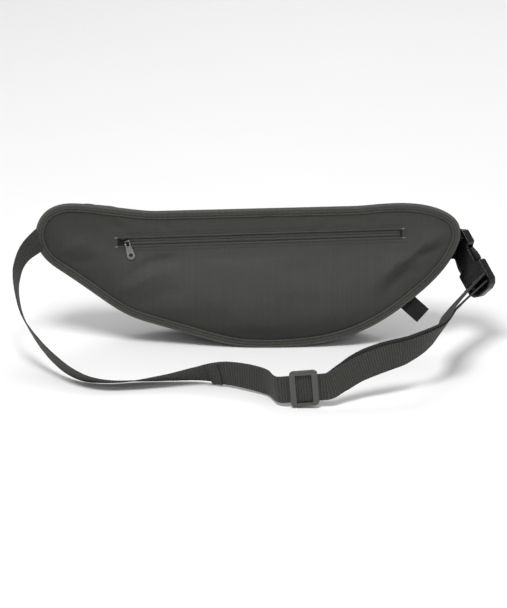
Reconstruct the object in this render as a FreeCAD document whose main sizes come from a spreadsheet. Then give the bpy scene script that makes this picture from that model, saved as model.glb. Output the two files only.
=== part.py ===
import FreeCAD, Part
import math
import os
import Sketcher
from FreeCAD import Placement, Rotation, Vector

# A waist pack standing on its flattened underside, its back panel facing -Y, with its belt closed and
# swung round to the -Y side. Millimetres. Origin: middle of the underside. +X along the pack, +Z up.
# "Panel" coordinates (x, up, out) lie in the leaning back panel: up runs up its face, out leaves it.

DIMS = {
    # bag
    "pack_width": 402.0,
    "pack_height": 140.0,
    "depth_bottom": 60.0,
    "depth_top": 34.0,
    "lean_deg": 10.0,
    "front_shrink": 0.86,
    "cloth": 2.0,
    "tip_share": 0.1,
    "pocket_depth": 13.0,
    "lining_thick": 0.8,
    "binding_width": 7.0,
    "binding_thick": 1.2,
    "seam_gap": 0.05,
    # zips
    "rear_zip_travel": 258.0,
    "main_zip_travel": 160.0,
    "zip_window": 8.0,
    "zip_end_room": 7.0,
    "chain_gap": 1.6,
    "coil_width": 1.8,
    "coil_thick": 1.6,
    "tape_width": 8.0,
    "tape_thick": 0.7,
    "runner_length": 8.5,
    "runner_width": 6.6,
    "plate_thick": 1.3,
    "run_gap": 0.4,
    "bail_length": 2.6,
    "bail_bar": 0.7,
    "pin_dia": 1.2,
    "pull_length": 17.0,
    "pull_width": 7.4,
    "pull_thick": 1.4,
    "pull_hole": 3.4,
    # belt
    "web_width": 25.0,
    "web_thick": 1.3,
    "layer_gap": 0.2,
    "hem_length": 12.5,
    "tab_width": 17.0,
    "tab_reach": 21.0,
    # tri-glide
    "glide_length": 26.0,
    "glide_play": 0.6,
    "glide_side": 5.5,
    "glide_end": 2.8,
    "glide_centre": 5.0,
    "glide_bar_thick": 1.9,
    "glide_clear": 0.35,
    # buckle
    "buckle_thick": 9.4,
    "shell_wall": 1.8,
    "tab_bar": 4.0,
    "tab_block": 10.0,
    "tab_slot": 3.6,
    "waist_start": 13.0,
    "waist_half": 10.5,
    "band_start": 30.0,
    "mouth_at": 38.0,
    "side_wall": 3.0,
    "mouth_wall": 3.7,
    "throat_half": 12.8,
    "plug_gap": 0.3,
    "plug_end": 58.0,
    "slot_one": 43.2,
    "slot_wide": 2.8,
    "plug_bar": 4.0,
    "plug_bar_thick": 4.0,
    "tongue_half": 3.2,
    "tongue_thick": 4.6,
    "tongue_tip": 14.0,
    "prong_in": 8.4,
    "prong_out": 11.6,
    "prong_catch": 14.2,
    "prong_tip": 12.5,
    "prong_shoulder": 28.1,
    "prong_thick": 5.0,
    "prong_root_gap": 0.4,
}

doc = FreeCAD.newDocument("waist_pack")
sheet = doc.addObject("Spreadsheet::Sheet", "dims")
for row, (alias, value) in enumerate(DIMS.items(), start=1):
    sheet.set(f"A{row}", alias)
    sheet.set(f"B{row}", str(value))
    sheet.setAlias(f"B{row}", alias)
doc.recompute()
DIM = {alias: float(sheet.get(alias)) for alias in DIMS}
NODES = []


# ---------- helpers ----------


def feature(label, shape, placement=None):
    """A sub-part whose shape is set by Part functions; its placement comes after its shape."""
    obj = doc.addObject("Part::Feature", label)
    obj.Label = label
    obj.Shape = shape
    obj.Placement = placement or Placement()
    NODES.append(obj)
    return obj


def new_body(label, placement):
    """A sub-part made with PartDesign features, which follow in the body's own coordinates."""
    body = doc.addObject("PartDesign::Body", label)
    body.Label = label
    body.Placement = placement
    NODES.append(body)
    return body


def outline_pad(body, name, corners, thickness):
    """Pads a closed outline, drawn on XY from pairs of expressions, to both sides by the expression thickness."""
    sketch = body.newObject("Sketcher::SketchObject", name + "_outline")
    plane = [f for f in body.Origin.OriginFeatures if f.Role == "XY_Plane"][0]
    sketch.AttachmentSupport = [(plane, "")]
    sketch.MapMode = "FlatFace"
    points = [Vector(value_of(x), value_of(y), 0) for x, y in corners]
    count = len(points)
    for i in range(count):
        sketch.addGeometry(Part.LineSegment(points[i], points[(i + 1) % count]), False)
    for i in range(count):
        sketch.addConstraint(Sketcher.Constraint("Coincident", i, 2, (i + 1) % count, 1))
    for i, (x, y) in enumerate(corners):
        for kind, expression, place in (("DistanceX", x, points[i].x), ("DistanceY", y, points[i].y)):
            index = sketch.addConstraint(Sketcher.Constraint(kind, -1, 1, i, 1, place))
            sketch.setExpression(f"Constraints[{index}]", bound(expression))
    pad = body.newObject("PartDesign::Pad", name)
    pad.Profile = sketch
    pad.SideType = "Symmetric"
    pad.setExpression("Length", bound(thickness))
    doc.recompute()
    return pad


def bound(expression):
    """The expression with each sheet name written as dims.name."""
    words = sorted((w for w in DIMS if w in expression), key=len, reverse=True)
    for i, word in enumerate(words):
        expression = expression.replace(word, f"<{i}>")
    for i, word in enumerate(words):
        expression = expression.replace(f"<{i}>", "dims." + word)
    return expression


def value_of(expression):
    """The number that an expression of sheet names stands for, found by the sheet's own engine."""
    probe.setExpression("X", bound(expression))
    probe.recompute()
    return float(probe.X)


def primitive(body, kind, name, sizes, corner):
    """Adds or cuts a box or cylinder inside a body. Sizes and corner are expressions of sheet names."""
    solid = body.newObject("PartDesign::" + kind, name)
    for prop, expression in sizes.items():
        solid.setExpression(prop, bound(expression))
    for axis, expression in zip("xyz", corner):
        solid.setExpression(f"Placement.Base.{axis}", bound(expression))
    doc.recompute()
    return solid


def round_edges(body, name, base, radius, wanted):
    """Fillets the edges of base whose middle passes the test wanted(point, edge)."""
    names = []
    for i, edge in enumerate(base.Shape.Edges, start=1):
        middle = edge.valueAt((edge.FirstParameter + edge.LastParameter) / 2)
        if wanted(middle, edge):
            names.append(f"Edge{i}")
    fillet = body.newObject("PartDesign::Fillet", name)
    fillet.Base = (base, names)
    fillet.Radius = radius
    doc.recompute()
    return fillet


def upright(edge):
    """True for an edge that runs along Z."""
    first, last = edge.Vertexes[0].Point, edge.Vertexes[-1].Point
    return math.hypot(first.x - last.x, first.y - last.y) < 0.01 < abs(first.z - last.z)


probe = doc.addObject("Part::Vertex", "probe")

# ---------- the bag's form ----------

LEAN = math.radians(DIM["lean_deg"])
PANEL = Placement(Vector(0, -DIM["depth_bottom"] / 2, 0), Rotation(Vector(1, 0, 0), 90 - DIM["lean_deg"]))
HALF = DIM["pack_width"] / 2
HIGH = DIM["pack_height"]
FLOOR_NORMAL = Vector(0, math.cos(LEAN), math.sin(LEAN))

# The top seam is straight between these two points; shares of the half width and of the height.
TOP_LEFT = (-0.438, 0.936)
TOP_RIGHT = (0.522, 0.971)
# From the straight's right end clockwise round the tips and the belly to its left end.
RIM = (
    (0.66, 0.988), (0.835, 0.977), (0.93, 0.932), (0.985, 0.866), (1.0, 0.785), (0.98, 0.68), (0.935, 0.57),
    (0.796, 0.364), (0.592, 0.157), (0.4, 0.052), (0.2, 0.012), (-0.02, 0.012), (-0.2, 0.065),
    (-0.4, 0.15), (-0.56, 0.225), (-0.72, 0.37), (-0.87, 0.52), (-0.97, 0.64), (-0.999, 0.74),
    (-0.994, 0.845), (-0.955, 0.932), (-0.89, 0.979), (-0.78, 0.985), (-0.6, 0.957),
)


def rim_wire(inset, scale, out):
    """The panel's outline moved inward by inset, scaled about the foot, at the height out over the panel."""
    start = Vector(TOP_LEFT[0] * HALF, TOP_LEFT[1] * HIGH, 0)
    stop = Vector(TOP_RIGHT[0] * HALF, TOP_RIGHT[1] * HIGH, 0)
    along = (stop - start).normalize()
    points = [stop] + [Vector(x * HALF, y * HIGH, 0) for x, y in RIM] + [start]
    bow = Part.BSplineCurve()
    bow.interpolate(points)
    ends = []
    for i, point in enumerate(points):
        at_straight = i in (0, len(points) - 1)
        tangent = along if at_straight else bow.tangent(bow.parameter(point))[0]
        moved = point + Vector(tangent.y, -tangent.x, 0) * inset
        ends.append(Vector(moved.x * scale, moved.y * scale, out))
    curve = Part.BSplineCurve()
    curve.interpolate(ends)
    return Part.Wire([Part.LineSegment(ends[-1], ends[0]).toShape(), curve.toShape()])


def rim_plate(inset, low, high):
    """A plate of the panel's outline between two heights over the panel."""
    face = Part.Face(rim_wire(inset, 1.0, low))
    return face.extrude(Vector(0, 0, high - low))


def rim_loft(inset):
    """The bag's seen-from-behind form: the outline at the panel, shrinking towards the front."""
    back, front = -DIM["cloth"], -DIM["depth_bottom"] - DIM["cloth"]
    wires = [rim_wire(inset, 1.0, back), rim_wire(inset, DIM["front_shrink"], front)]
    return Part.makeLoft(wires, True, True)


def front_form(inset):
    """The bag's plan form: flat at the back, swelling to its depth in the middle, thin at the tips."""
    wires = []
    for share in (-0.1, 1.1):
        depth = DIM["depth_bottom"] + (DIM["depth_top"] - DIM["depth_bottom"]) * share - DIM["cloth"]
        up = share * HIGH
        back = -DIM["cloth"]
        swell = []
        for spot in (-1.04, -0.86, -0.68, -0.4, 0.0, 0.4, 0.68, 0.86, 1.04):
            full = DIM["tip_share"] + (1 - DIM["tip_share"]) * max(0.0, 1 - abs(spot) ** 2.6)
            swell.append(Vector(spot * HALF, up, back - depth * full + inset))
        curve = Part.BSplineCurve()
        curve.interpolate(swell)
        left, right = Vector(swell[0].x, up, back), Vector(swell[-1].x, up, back)
        edges = [
            Part.LineSegment(left, swell[0]).toShape(),
            curve.toShape(),
            Part.LineSegment(swell[-1], right).toShape(),
            Part.LineSegment(right, left).toShape(),
        ]
        wires.append(Part.Wire(edges))
    return Part.makeLoft(wires, True, True)


def over_floor(clearance):
    """Everything above the level that lies clearance over the floor, in panel coordinates."""
    size = 3 * DIM["pack_width"]
    block = Part.makeBox(size, size, size, Vector(-size / 2, -size / 2, clearance))
    block.Placement = Placement(Vector(), Rotation(Vector(0, 0, 1), FLOOR_NORMAL)).multiply(block.Placement)
    return block


def one_solid(shape):
    """The largest solid of a boolean's result, which leaves out slivers at the tips."""
    return max(shape.Solids, key=lambda solid: solid.Volume)


def window(place, travel):
    """The cutter for a zip's window, in the coordinates that place maps to."""
    tall, room = DIM["zip_window"], DIM["zip_end_room"]
    cut = Part.makeBox(travel + 2 * room, tall, 3 * DIM["cloth"], Vector(-room, -tall / 2, -2 * DIM["cloth"]))
    cut.Placement = place
    return cut


CLOTH = DIM["cloth"]
outside = rim_loft(0).common(front_form(0)).common(over_floor(0))
inside = rim_loft(CLOTH).common(front_form(CLOTH)).common(over_floor(CLOTH))
behind_front = front_form(CLOTH)

# The rear zip's line on the panel, as its slider's rest and its far end.
REAR_START = Vector(-0.587 * HALF, 0.729 * HIGH, 0)
REAR_END = Vector(0.736 * HALF, 0.791 * HIGH, 0)
rear_tilt = math.degrees(math.atan2(REAR_END.y - REAR_START.y, REAR_END.x - REAR_START.x))
REAR_ZIP = Placement(REAR_START, Rotation(Vector(0, 0, 1), rear_tilt))


def top_zip_place():
    """The main zip's frame on the top gusset: X to the left along the seam, Y to the back, Z up off it."""
    left = Vector(TOP_LEFT[0] * HALF, TOP_LEFT[1] * HIGH, 0)
    right = Vector(TOP_RIGHT[0] * HALF, TOP_RIGHT[1] * HIGH, 0)
    along = (right - left).normalize()
    run = DIM["depth_bottom"]
    middle = (left + right) / 2
    down = Vector(middle.x * (DIM["front_shrink"] - 1), middle.y * (DIM["front_shrink"] - 1), -run)
    normal = along.cross(down).normalize()
    half_deep = (DIM["depth_top"] - CLOTH) / 2
    share = half_deep / run
    centre = middle + Vector(down.x, down.y, -run) * share + Vector(0, 0, -CLOTH)
    ahead = along * -1
    start = centre - ahead * (DIM["main_zip_travel"] / 2)
    return Placement(start, Rotation(ahead, normal.cross(ahead), normal, "XYZ"))


MAIN_ZIP = top_zip_place()

# ---------- bag panels ----------

back = rim_plate(0, -CLOTH, 0).cut(window(REAR_ZIP, DIM["rear_zip_travel"]))
feature("back_panel", one_solid(back.common(over_floor(0))), PANEL)

feature("front_panel", one_solid(outside.cut(behind_front)), PANEL)

# Shares of the panel's height at which the top gusset starts and the pocket's lining ends.
LID_START = 0.78
LINING_TOP = 0.84

gusset = outside.common(behind_front).cut(inside)
lid_level = LID_START * HIGH
size = 2 * DIM["pack_width"]
lid_zone = Part.makeBox(2 * size, size, size, Vector(-size, lid_level, -size / 2))
lid = gusset.common(lid_zone)
feature("bottom_gusset", one_solid(gusset.cut(lid_zone)), PANEL)

# The top gusset is pieced: the zip panel between two seams, and an end piece beyond each seam.
left_seam, right_seam = TOP_LEFT[0] * HALF, TOP_RIGHT[0] * HALF


def lid_between(start, stop):
    """The part of the top gusset between two places across the pack."""
    return lid.common(Part.makeBox(stop - start, size, size, Vector(start, lid_level, -size / 2)))


zip_panel = lid_between(left_seam, right_seam).cut(window(MAIN_ZIP, DIM["main_zip_travel"]))
feature("top_gusset", one_solid(zip_panel), PANEL)
feature("gusset_end_left", one_solid(lid_between(-size, left_seam)), PANEL)
feature("gusset_end_right", one_solid(lid_between(right_seam, size)), PANEL)

pocket_back = -CLOTH - DIM["pocket_depth"]
lining = rim_plate(CLOTH + DIM["seam_gap"], pocket_back - DIM["lining_thick"], pocket_back)
over_lining = Part.makeBox(2 * size, size, size, Vector(-size, LINING_TOP * HIGH, -size / 2))
feature("pocket_lining", one_solid(lining.common(inside).cut(over_lining)), PANEL)

# Binding tape folded over the back seam: a lip on the panel and a wall round its edge.
THICK, GAP = DIM["binding_thick"], DIM["seam_gap"]
WALL = 0.6 * THICK


def rim_ring(outer, inner, low, high):
    """A ring between two insets of the panel's outline, between two heights over the panel."""
    face = Part.Face(rim_wire(outer, 1.0, low)).cut(Part.Face(rim_wire(inner, 1.0, low)))
    return face.extrude(Vector(0, 0, high - low))


lip = rim_ring(-WALL - GAP, DIM["binding_width"], GAP, GAP + THICK)
edge_wall = rim_ring(-WALL - GAP, -GAP, -2 * CLOTH, GAP)
tape_block = lip.fuse(edge_wall)
feature("edge_binding", one_solid(tape_block.common(over_floor(0))), PANEL)

# ---------- zips ----------


def zip_set(name, place, travel, slant_deg):
    """A closed coil zip behind its window: two tapes, two coils, end stops, slider and pull."""
    where = PANEL.multiply(place)
    gap_half, coil = DIM["chain_gap"] / 2, DIM["coil_width"]
    room = DIM["zip_end_room"]
    length = travel + 2 * room
    coil_top = -CLOTH + DIM["run_gap"]
    coil_low = coil_top - DIM["coil_thick"]
    tape_low = -CLOTH - GAP - DIM["tape_thick"]
    inner = gap_half + coil
    for side, word in ((1, "upper"), (-1, "lower")):
        low_edge = inner if side > 0 else -inner - DIM["tape_width"]
        corner = Vector(-room, low_edge, tape_low)
        feature(f"{name}_tape_{word}", Part.makeBox(length, DIM["tape_width"], DIM["tape_thick"], corner), where)
        low_edge = gap_half if side > 0 else -inner
        corner = Vector(-room, low_edge, coil_low)
        feature(f"{name}_coil_{word}", Part.makeBox(length, coil, DIM["coil_thick"], corner), where)

    stop_long = 1.5
    clear = DIM["runner_length"] / 2 + GAP
    stops = []
    for x in (-clear - stop_long, travel + clear):
        stops.append(Part.makeBox(stop_long, 2 * inner, 0.8, Vector(x, -inner, coil_top + GAP)))
    feature(f"{name}_stops", Part.makeCompound(stops), where)

    runner = new_body(f"{name}_slider", where)
    plate = {"Length": "runner_length", "Width": "runner_width", "Height": "plate_thick"}
    left, low = "-runner_length/2", "-runner_width/2"
    top_z = "-cloth+2*run_gap"
    under_z = "-cloth-coil_thick-plate_thick"
    primitive(runner, "AdditiveBox", "top_plate", plate, (left, low, top_z))
    post = {"Length": "2", "Width": "chain_gap-2*run_gap+0.2", "Height": "coil_thick+2*run_gap+0.2"}
    post_place = ("runner_length/2-3", "-chain_gap/2+run_gap-0.1", "-cloth-coil_thick-0.1")
    primitive(runner, "AdditiveBox", "post", post, post_place)
    plates = primitive(runner, "AdditiveBox", "under_plate", plate, (left, low, under_z))
    round_edges(runner, "soft_corners", plates, 1.6, lambda p, e: upright(e) and abs(p.x) > 4)
    bail = {"Length": "bail_length", "Width": "4*bail_bar+2", "Height": "4*bail_bar+1"}
    bail_place = ("runner_length/2-1.2-bail_length/2", "-2*bail_bar-1", "-cloth+2*run_gap+plate_thick-0.1")
    primitive(runner, "AdditiveBox", "bail", bail, bail_place)
    tunnel = {"Length": "bail_length+2", "Width": "2*bail_bar+2", "Height": "2*bail_bar+0.6"}
    tunnel_place = ("runner_length/2-1.2-bail_length/2-1", "-bail_bar-1", "-cloth+2*run_gap+plate_thick+0.5")
    primitive(runner, "SubtractiveBox", "tunnel", tunnel, tunnel_place)

    pin_up = -CLOTH + 2 * DIM["run_gap"] + DIM["plate_thick"] + 0.5 + DIM["bail_bar"] + 0.3
    pivot = Placement(Vector(DIM["runner_length"] / 2 - 1.2, 0, pin_up), Rotation(Vector(0, 0, 1), slant_deg))
    pull = new_body(f"{name}_pull", where.multiply(pivot))
    tag = (
        ("-pull_width/2+0.3", "-3.5"), ("-pull_width/2", "-pull_length+2"), ("-pull_width/2+2", "-pull_length"),
        ("pull_width/2-2", "-pull_length"), ("pull_width/2", "-pull_length+2"), ("pull_width/2-0.3", "-3.5"),
    )
    outline_pad(pull, "tag", tag, "pull_thick")
    ear = {"Length": "1", "Width": "4.4", "Height": "pull_thick"}
    primitive(pull, "AdditiveBox", "ear_left", ear, ("-pull_width/2+0.3", "-3.6", "-pull_thick/2"))
    primitive(pull, "AdditiveBox", "ear_right", ear, ("pull_width/2-1.3", "-3.6", "-pull_thick/2"))
    pin = pull.newObject("PartDesign::AdditiveCylinder", "pin")
    pin.setExpression("Radius", bound("pin_dia/2"))
    pin.setExpression("Height", bound("pull_width-1"))
    pin.Placement = Placement(Vector(), Rotation(Vector(0, 1, 0), 90))
    pin.setExpression("Placement.Base.x", bound("-pull_width/2+0.5"))
    hole = {"Radius": "pull_hole/2", "Height": "pull_thick+2"}
    primitive(pull, "SubtractiveCylinder", "hole", hole, ("0", "-pull_length+4.2", "-pull_thick/2-1"))
    return where.multiply(pivot)


rear_pivot = zip_set("rear_zip", REAR_ZIP, DIM["rear_zip_travel"], 14.0)
main_pivot = zip_set("main_zip", MAIN_ZIP, DIM["main_zip_travel"], 0.0)

# ---------- buckle ----------

# The buckle's frame at the middle of the socket's webbing bar: X runs to the plug's end, Y along the bar.
BUCKLE_IN, BUCKLE_UP, BUCKLE_BEHIND = 1.5, 0.7188, 15.77
BUCKLE_AT = PANEL.multVec(Vector(HALF - BUCKLE_IN, BUCKLE_UP * HIGH, -BUCKLE_BEHIND))
BUCKLE_X = Vector(0.449, -0.558, -0.697).normalize()
BUCKLE_Z = BUCKLE_X.cross(Vector(0.552, -0.441, 0.708)).normalize()
BUCKLE_Y = BUCKLE_Z.cross(BUCKLE_X)
BUCKLE = Placement(BUCKLE_AT, Rotation(BUCKLE_X, BUCKLE_Y, BUCKLE_Z, "XYZ"))


def mirrored(corners):
    """The outline's upper half, given from left to right, and its mirror image back again."""
    return list(corners) + [(x, f"-({y})") for x, y in reversed(corners)]


SOCKET_HALF = "(web_width/2+side_wall)"
MOUTH_HALF = "(web_width/2+mouth_wall)"
socket = new_body("buckle_socket", BUCKLE)
socket_outline = (
    ("-tab_bar", SOCKET_HALF), ("tab_block", SOCKET_HALF), ("waist_start", "waist_half"),
    ("band_start-2.5", "waist_half"), ("band_start", MOUTH_HALF), ("mouth_at", MOUTH_HALF),
)
shell = outline_pad(socket, "shell", mirrored(socket_outline), "buckle_thick")
shell = round_edges(socket, "corners", shell, 2.2, lambda p, e: upright(e) and p.x < DIM["mouth_at"] - 1)
rim_half = DIM["buckle_thick"] / 2
shell = round_edges(
    socket, "face_edges", shell, 1.1, lambda p, e: abs(abs(p.z) - rim_half) < 0.01 and p.x < DIM["mouth_at"] - 1
)
cavity = {"Length": "mouth_at-tab_block+1", "Width": "2*throat_half", "Height": "buckle_thick-2*shell_wall"}
primitive(socket, "SubtractiveBox", "cavity", cavity, ("tab_block", "-throat_half", "-buckle_thick/2+shell_wall"))
slot = {"Length": "tab_slot", "Width": "web_width+1.4", "Height": "buckle_thick+2"}
primitive(socket, "SubtractiveBox", "web_slot", slot, ("0", "-web_width/2-0.7", "-buckle_thick/2-1"))

plug = new_body("buckle_plug", BUCKLE)
plug_outline = (
    ("mouth_at+plug_gap", MOUTH_HALF), ("plug_end-7", MOUTH_HALF), ("plug_end-2.2", MOUTH_HALF + "-3.5"),
    ("plug_end", MOUTH_HALF + "-9"),
)
base = outline_pad(plug, "base", mirrored(plug_outline), "buckle_thick")
base = round_edges(plug, "corners", base, 4.0, lambda p, e: upright(e) and p.x > DIM["mouth_at"] + 1)
base = round_edges(
    plug, "face_edges", base, 1.3, lambda p, e: abs(abs(p.z) - rim_half) < 0.01 and p.x > DIM["mouth_at"] + 1
)
slot = {"Length": "slot_wide", "Width": "web_width+1.4", "Height": "buckle_thick+2"}
primitive(plug, "SubtractiveBox", "slot_one", slot, ("slot_one", "-web_width/2-0.7", "-buckle_thick/2-1"))
slot_two = ("slot_one+slot_wide+plug_bar", "-web_width/2-0.7", "-buckle_thick/2-1")
primitive(plug, "SubtractiveBox", "slot_two", slot, slot_two)
relief = {"Length": "plug_bar+2*slot_wide", "Width": "web_width+1.4", "Height": "buckle_thick"}
primitive(plug, "SubtractiveBox", "bar_top", relief, ("slot_one", "-web_width/2-0.7", "plug_bar_thick/2"))
under = ("slot_one", "-web_width/2-0.7", "-plug_bar_thick/2-buckle_thick")
primitive(plug, "SubtractiveBox", "bar_under", relief, under)
tongue = {"Length": "mouth_at+plug_gap-tongue_tip+1", "Width": "2*tongue_half", "Height": "tongue_thick"}
primitive(plug, "AdditiveBox", "tongue", tongue, ("tongue_tip", "-tongue_half", "-tongue_thick/2"))

for name, side in (("prong_a", 1), ("prong_b", -1)):
    flip = Rotation() if side > 0 else Rotation(Vector(1, 0, 0), 180)
    prong = new_body(name, BUCKLE.multiply(Placement(Vector(), flip)))
    arm = (
        ("mouth_at+plug_gap-prong_root_gap", "prong_in"), ("mouth_at+plug_gap-prong_root_gap", "prong_out"),
        ("prong_shoulder", "prong_out"), ("prong_shoulder", "prong_catch-0.4"),
        ("prong_shoulder-3", "prong_catch"), ("prong_shoulder-8", "prong_catch-0.7"),
        ("prong_tip+2", "prong_out+0.2"), ("prong_tip", "prong_out-1.6"), ("prong_tip", "prong_in"),
    )
    outline_pad(prong, "arm", arm, "prong_thick")

# ---------- belt ----------

WEB, LAYER = DIM["web_width"], DIM["web_thick"]
SPREAD = (LAYER + DIM["layer_gap"]) / 2
# Where the belt leaves the plug it leans from the buckle's face normal towards the plug's end.
EXIT_SLANT = math.radians(22.4)
EXIT = (BUCKLE_Z * math.cos(EXIT_SLANT) + BUCKLE_X * math.sin(EXIT_SLANT)).normalize()
BAR_MIDDLE = DIM["slot_one"] + DIM["slot_wide"] + DIM["plug_bar"] / 2
LEG_HALF = DIM["plug_bar"] / 2 + DIM["slot_wide"] / 2 - 0.3
FACE_UP = DIM["buckle_thick"] / 2 + 0.1
CUT_UP = 12.0
LOOP_GAP = 0.3

# Belt stations from the left tip to the plug: the middle of the webbing and the direction across it,
# from its lower edge to its upper edge. The flared left part leans its upper edge outwards.
DRAWN_HALF, DRAWN_HIGH, DRAWN_DEEP = 201.0, 140.0, 60.0


def on_route(x, y, z):
    """A point of the belt's route, drawn for the pack's usual size and carried along when that changes."""
    back = (DIM["depth_bottom"] - DRAWN_DEEP) / 2
    return Vector(x * HALF / DRAWN_HALF, y - back, z * HIGH / DRAWN_HIGH)


GLIDE_AT = on_route(51, -181, 18.0)
GLIDE_DIR = Vector(1, -0.02, 0.085).normalize()
GLIDE_UP = Vector(-0.2, 0.08, 0.97)
STRAIGHT = 19.5
STATIONS = [
    (on_route(-188, -10, 108), Vector(0, 0.1, 1)),
    (on_route(-200, -17, 103.5), Vector(0, -0.05, 1)),
    (on_route(-213, -32, 95), Vector(-0.1, -0.4, 0.9)),
    (on_route(-219, -46, 81), Vector(-0.19, -0.69, 0.7)),
    (on_route(-218, -60, 66), Vector(-0.05, -0.9, 0.42)),
    (on_route(-211, -77, 47), Vector(0.03, -0.93, 0.36)),
    (on_route(-196, -95, 30), Vector(0.114, -0.82, 0.45)),
    (on_route(-175, -115, 15.5), Vector(0.2, -0.8, 0.5)),
    (on_route(-154, -130, 8.6), Vector(0.2, -0.82, 0.5)),
    (on_route(-131, -136, 6.2), Vector(0.1, -0.87, 0.42)),
    (on_route(-105, -133, 5.6), Vector(0, -0.93, 0.36)),
    (on_route(-76, -130, 7.6), Vector(0, -0.837, 0.548)),
    (on_route(-45, -129, 11.4), Vector(0, -0.62, 0.78)),
    (on_route(-20, -136, 15.0), Vector(0, -0.25, 0.97)),
    (on_route(0, -144.5, 15.2), Vector(0, -0.1, 0.99)),
    (on_route(17, -156, 14.4), Vector(-0.12, 0.02, 0.99)),
    (GLIDE_AT - GLIDE_DIR * STRAIGHT, GLIDE_UP),
    (GLIDE_AT + GLIDE_DIR * STRAIGHT, GLIDE_UP),
    (on_route(85, -174, 24.6), Vector(-0.18, 0.08, 0.98)),
    (on_route(101, -166, 31.2), Vector(-0.1, 0.05, 0.99)),
    (on_route(122, -158, 37), Vector(0.05, 0.1, 0.99)),
    (on_route(148, -147, 42), Vector(0.2, -0.1, 0.95)),
    (on_route(176, -124, 51), Vector(0.4, -0.35, 0.85)),
]


def belt_end():
    """The last two stations, where the two layers stand apart, in line with the way out of the plug."""
    stations = []
    for up in (60.0, CUT_UP - 4.0):
        on_axis = BAR_MIDDLE + (up - FACE_UP) * math.tan(EXIT_SLANT)
        stations.append((BUCKLE_AT + BUCKLE_X * on_axis + BUCKLE_Z * up, BUCKLE_Y))
    return stations


def hermite(p, q, dp, dq, share):
    """A point on the cubic between p and q with end slopes dp and dq."""
    a, b = share * share, share * share * share
    return p * (2 * b - 3 * a + 1) + dp * (b - 2 * a + share) + q * (3 * a - 2 * b) + dq * (b - a)


def belt_sections(steps):
    """Sections (middle, along, across, outward, half separation of the layers) evenly spread over the stations."""
    stations = STATIONS + belt_end()
    last = len(stations) - 1
    slopes = []
    for i in range(last + 1):
        before, after = stations[max(i - 1, 0)][0], stations[min(i + 1, last)][0]
        slopes.append((after - before) / (1 if i in (0, last) else 2))
    glide = [i for i, s in enumerate(stations) if s[1] is GLIDE_UP]
    for i in glide:
        slopes[i] = GLIDE_DIR * slopes[i].Length
    fan_from = last - 1
    apart = LEG_HALF * math.cos(EXIT_SLANT)
    sections = []
    for i in range(last):
        for k in range(steps):
            share = k / steps
            sections.append(one_section(stations, slopes, i, share, fan_from, apart))
    sections.append(one_section(stations, slopes, last - 1, 1.0, fan_from, apart))
    return sections


def one_section(stations, slopes, i, share, fan_from, apart):
    """The section at a share of the way from station i to the next."""
    p, q = stations[i][0], stations[i + 1][0]
    near = 1e-3
    span = (q - p).Length
    dp = slopes[i].normalize() * span if i else slopes[i]
    dq = slopes[i + 1].normalize() * span
    middle = hermite(p, q, dp, dq, share)
    ahead = hermite(p, q, dp, dq, share + near) - hermite(p, q, dp, dq, share - near)
    along = ahead.normalize()
    wanted = stations[i][1] * (1 - share) + stations[i + 1][1] * share
    across = (wanted - along * wanted.dot(along)).normalize()
    outward = along.cross(across)
    place = i + share
    fan = min(max(place - fan_from + 0.6, 0.0) / 1.6, 1.0)
    half = SPREAD + (apart - SPREAD) * fan
    return (middle, along, across, outward, half)


def ribbon(sections, shift, thick, wide):
    """A webbing layer: each section's rectangle, shifted outward by shift(section), joined in straight faces."""
    wires = []
    for section in sections:
        middle, _, across, outward, _ = section
        centre = middle + outward * shift(section)
        u, v = across * (wide / 2), outward * (thick / 2)
        wires.append(Part.makePolygon([centre - u - v, centre + u - v, centre + u + v, centre - u + v, centre - u - v]))
    return Part.makeLoft(wires, True, True)


def beyond_plug():
    """The space on the far side of the plane, parallel to the buckle's face, where the belt's stub ends."""
    far = 6 * HALF
    block = Part.makeBox(far, far, far, Vector(-far / 2, -far / 2, CUT_UP + LOOP_GAP))
    block.Placement = BUCKLE.multiply(block.Placement)
    return block


def whole_prism():
    """The bag's outline through its whole depth, slightly enlarged, which trims what is sewn into its seams."""
    prism = rim_plate(-WALL - 2 * GAP, -DIM["depth_bottom"], 2 * CLOTH)
    prism.Placement = PANEL
    return prism


belt = belt_sections(3)
bag_prism = whole_prism()
trim = beyond_plug()


def near_x(x):
    """The index of the belt section nearest to x on the front half of the loop."""
    front = [i for i, s in enumerate(belt) if s[0].y < -120]
    return min(front, key=lambda i: abs(belt[i][0].x - x))


hem_at = near_x(-36)
hem_far = near_x(-36 + DIM["hem_length"])
main_layer = ribbon(belt, lambda s: -s[4], LAYER, WEB)
feature("strap_main", one_solid(main_layer.cut(bag_prism).common(trim)))
return_layer = ribbon(belt[hem_at:], lambda s: s[4], LAYER, WEB)
feature("strap_return", one_solid(return_layer.common(trim)))
hem_shift = LAYER + DIM["layer_gap"]
feature("strap_hem", ribbon(belt[hem_at:hem_far + 1], lambda s: s[4] + hem_shift, LAYER, WEB))


def loop_profile():
    """The stub of belt round the plug's bar: two legs out of the slots, joined under the bar."""
    low = -DIM["plug_bar_thick"] / 2 - 0.1 - LAYER
    slant = math.tan(EXIT_SLANT) * (CUT_UP - FACE_UP)
    wide = LAYER / 2
    one, two = BAR_MIDDLE - LEG_HALF, BAR_MIDDLE + LEG_HALF
    points = [
        (one - wide, low), (two + wide, low), (two + wide, FACE_UP), (two + wide + slant, CUT_UP),
        (two - wide + slant, CUT_UP), (two - wide, FACE_UP), (two - wide, low + LAYER),
        (one + wide, low + LAYER), (one + wide, FACE_UP), (one + wide + slant, CUT_UP),
        (one - wide + slant, CUT_UP), (one - wide, FACE_UP),
    ]
    corners = [Vector(x, -WEB / 2, z) for x, z in points]
    return Part.Face(Part.makePolygon(corners + corners[:1])).extrude(Vector(0, WEB, 0))


feature("strap_loop", loop_profile(), BUCKLE)


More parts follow.
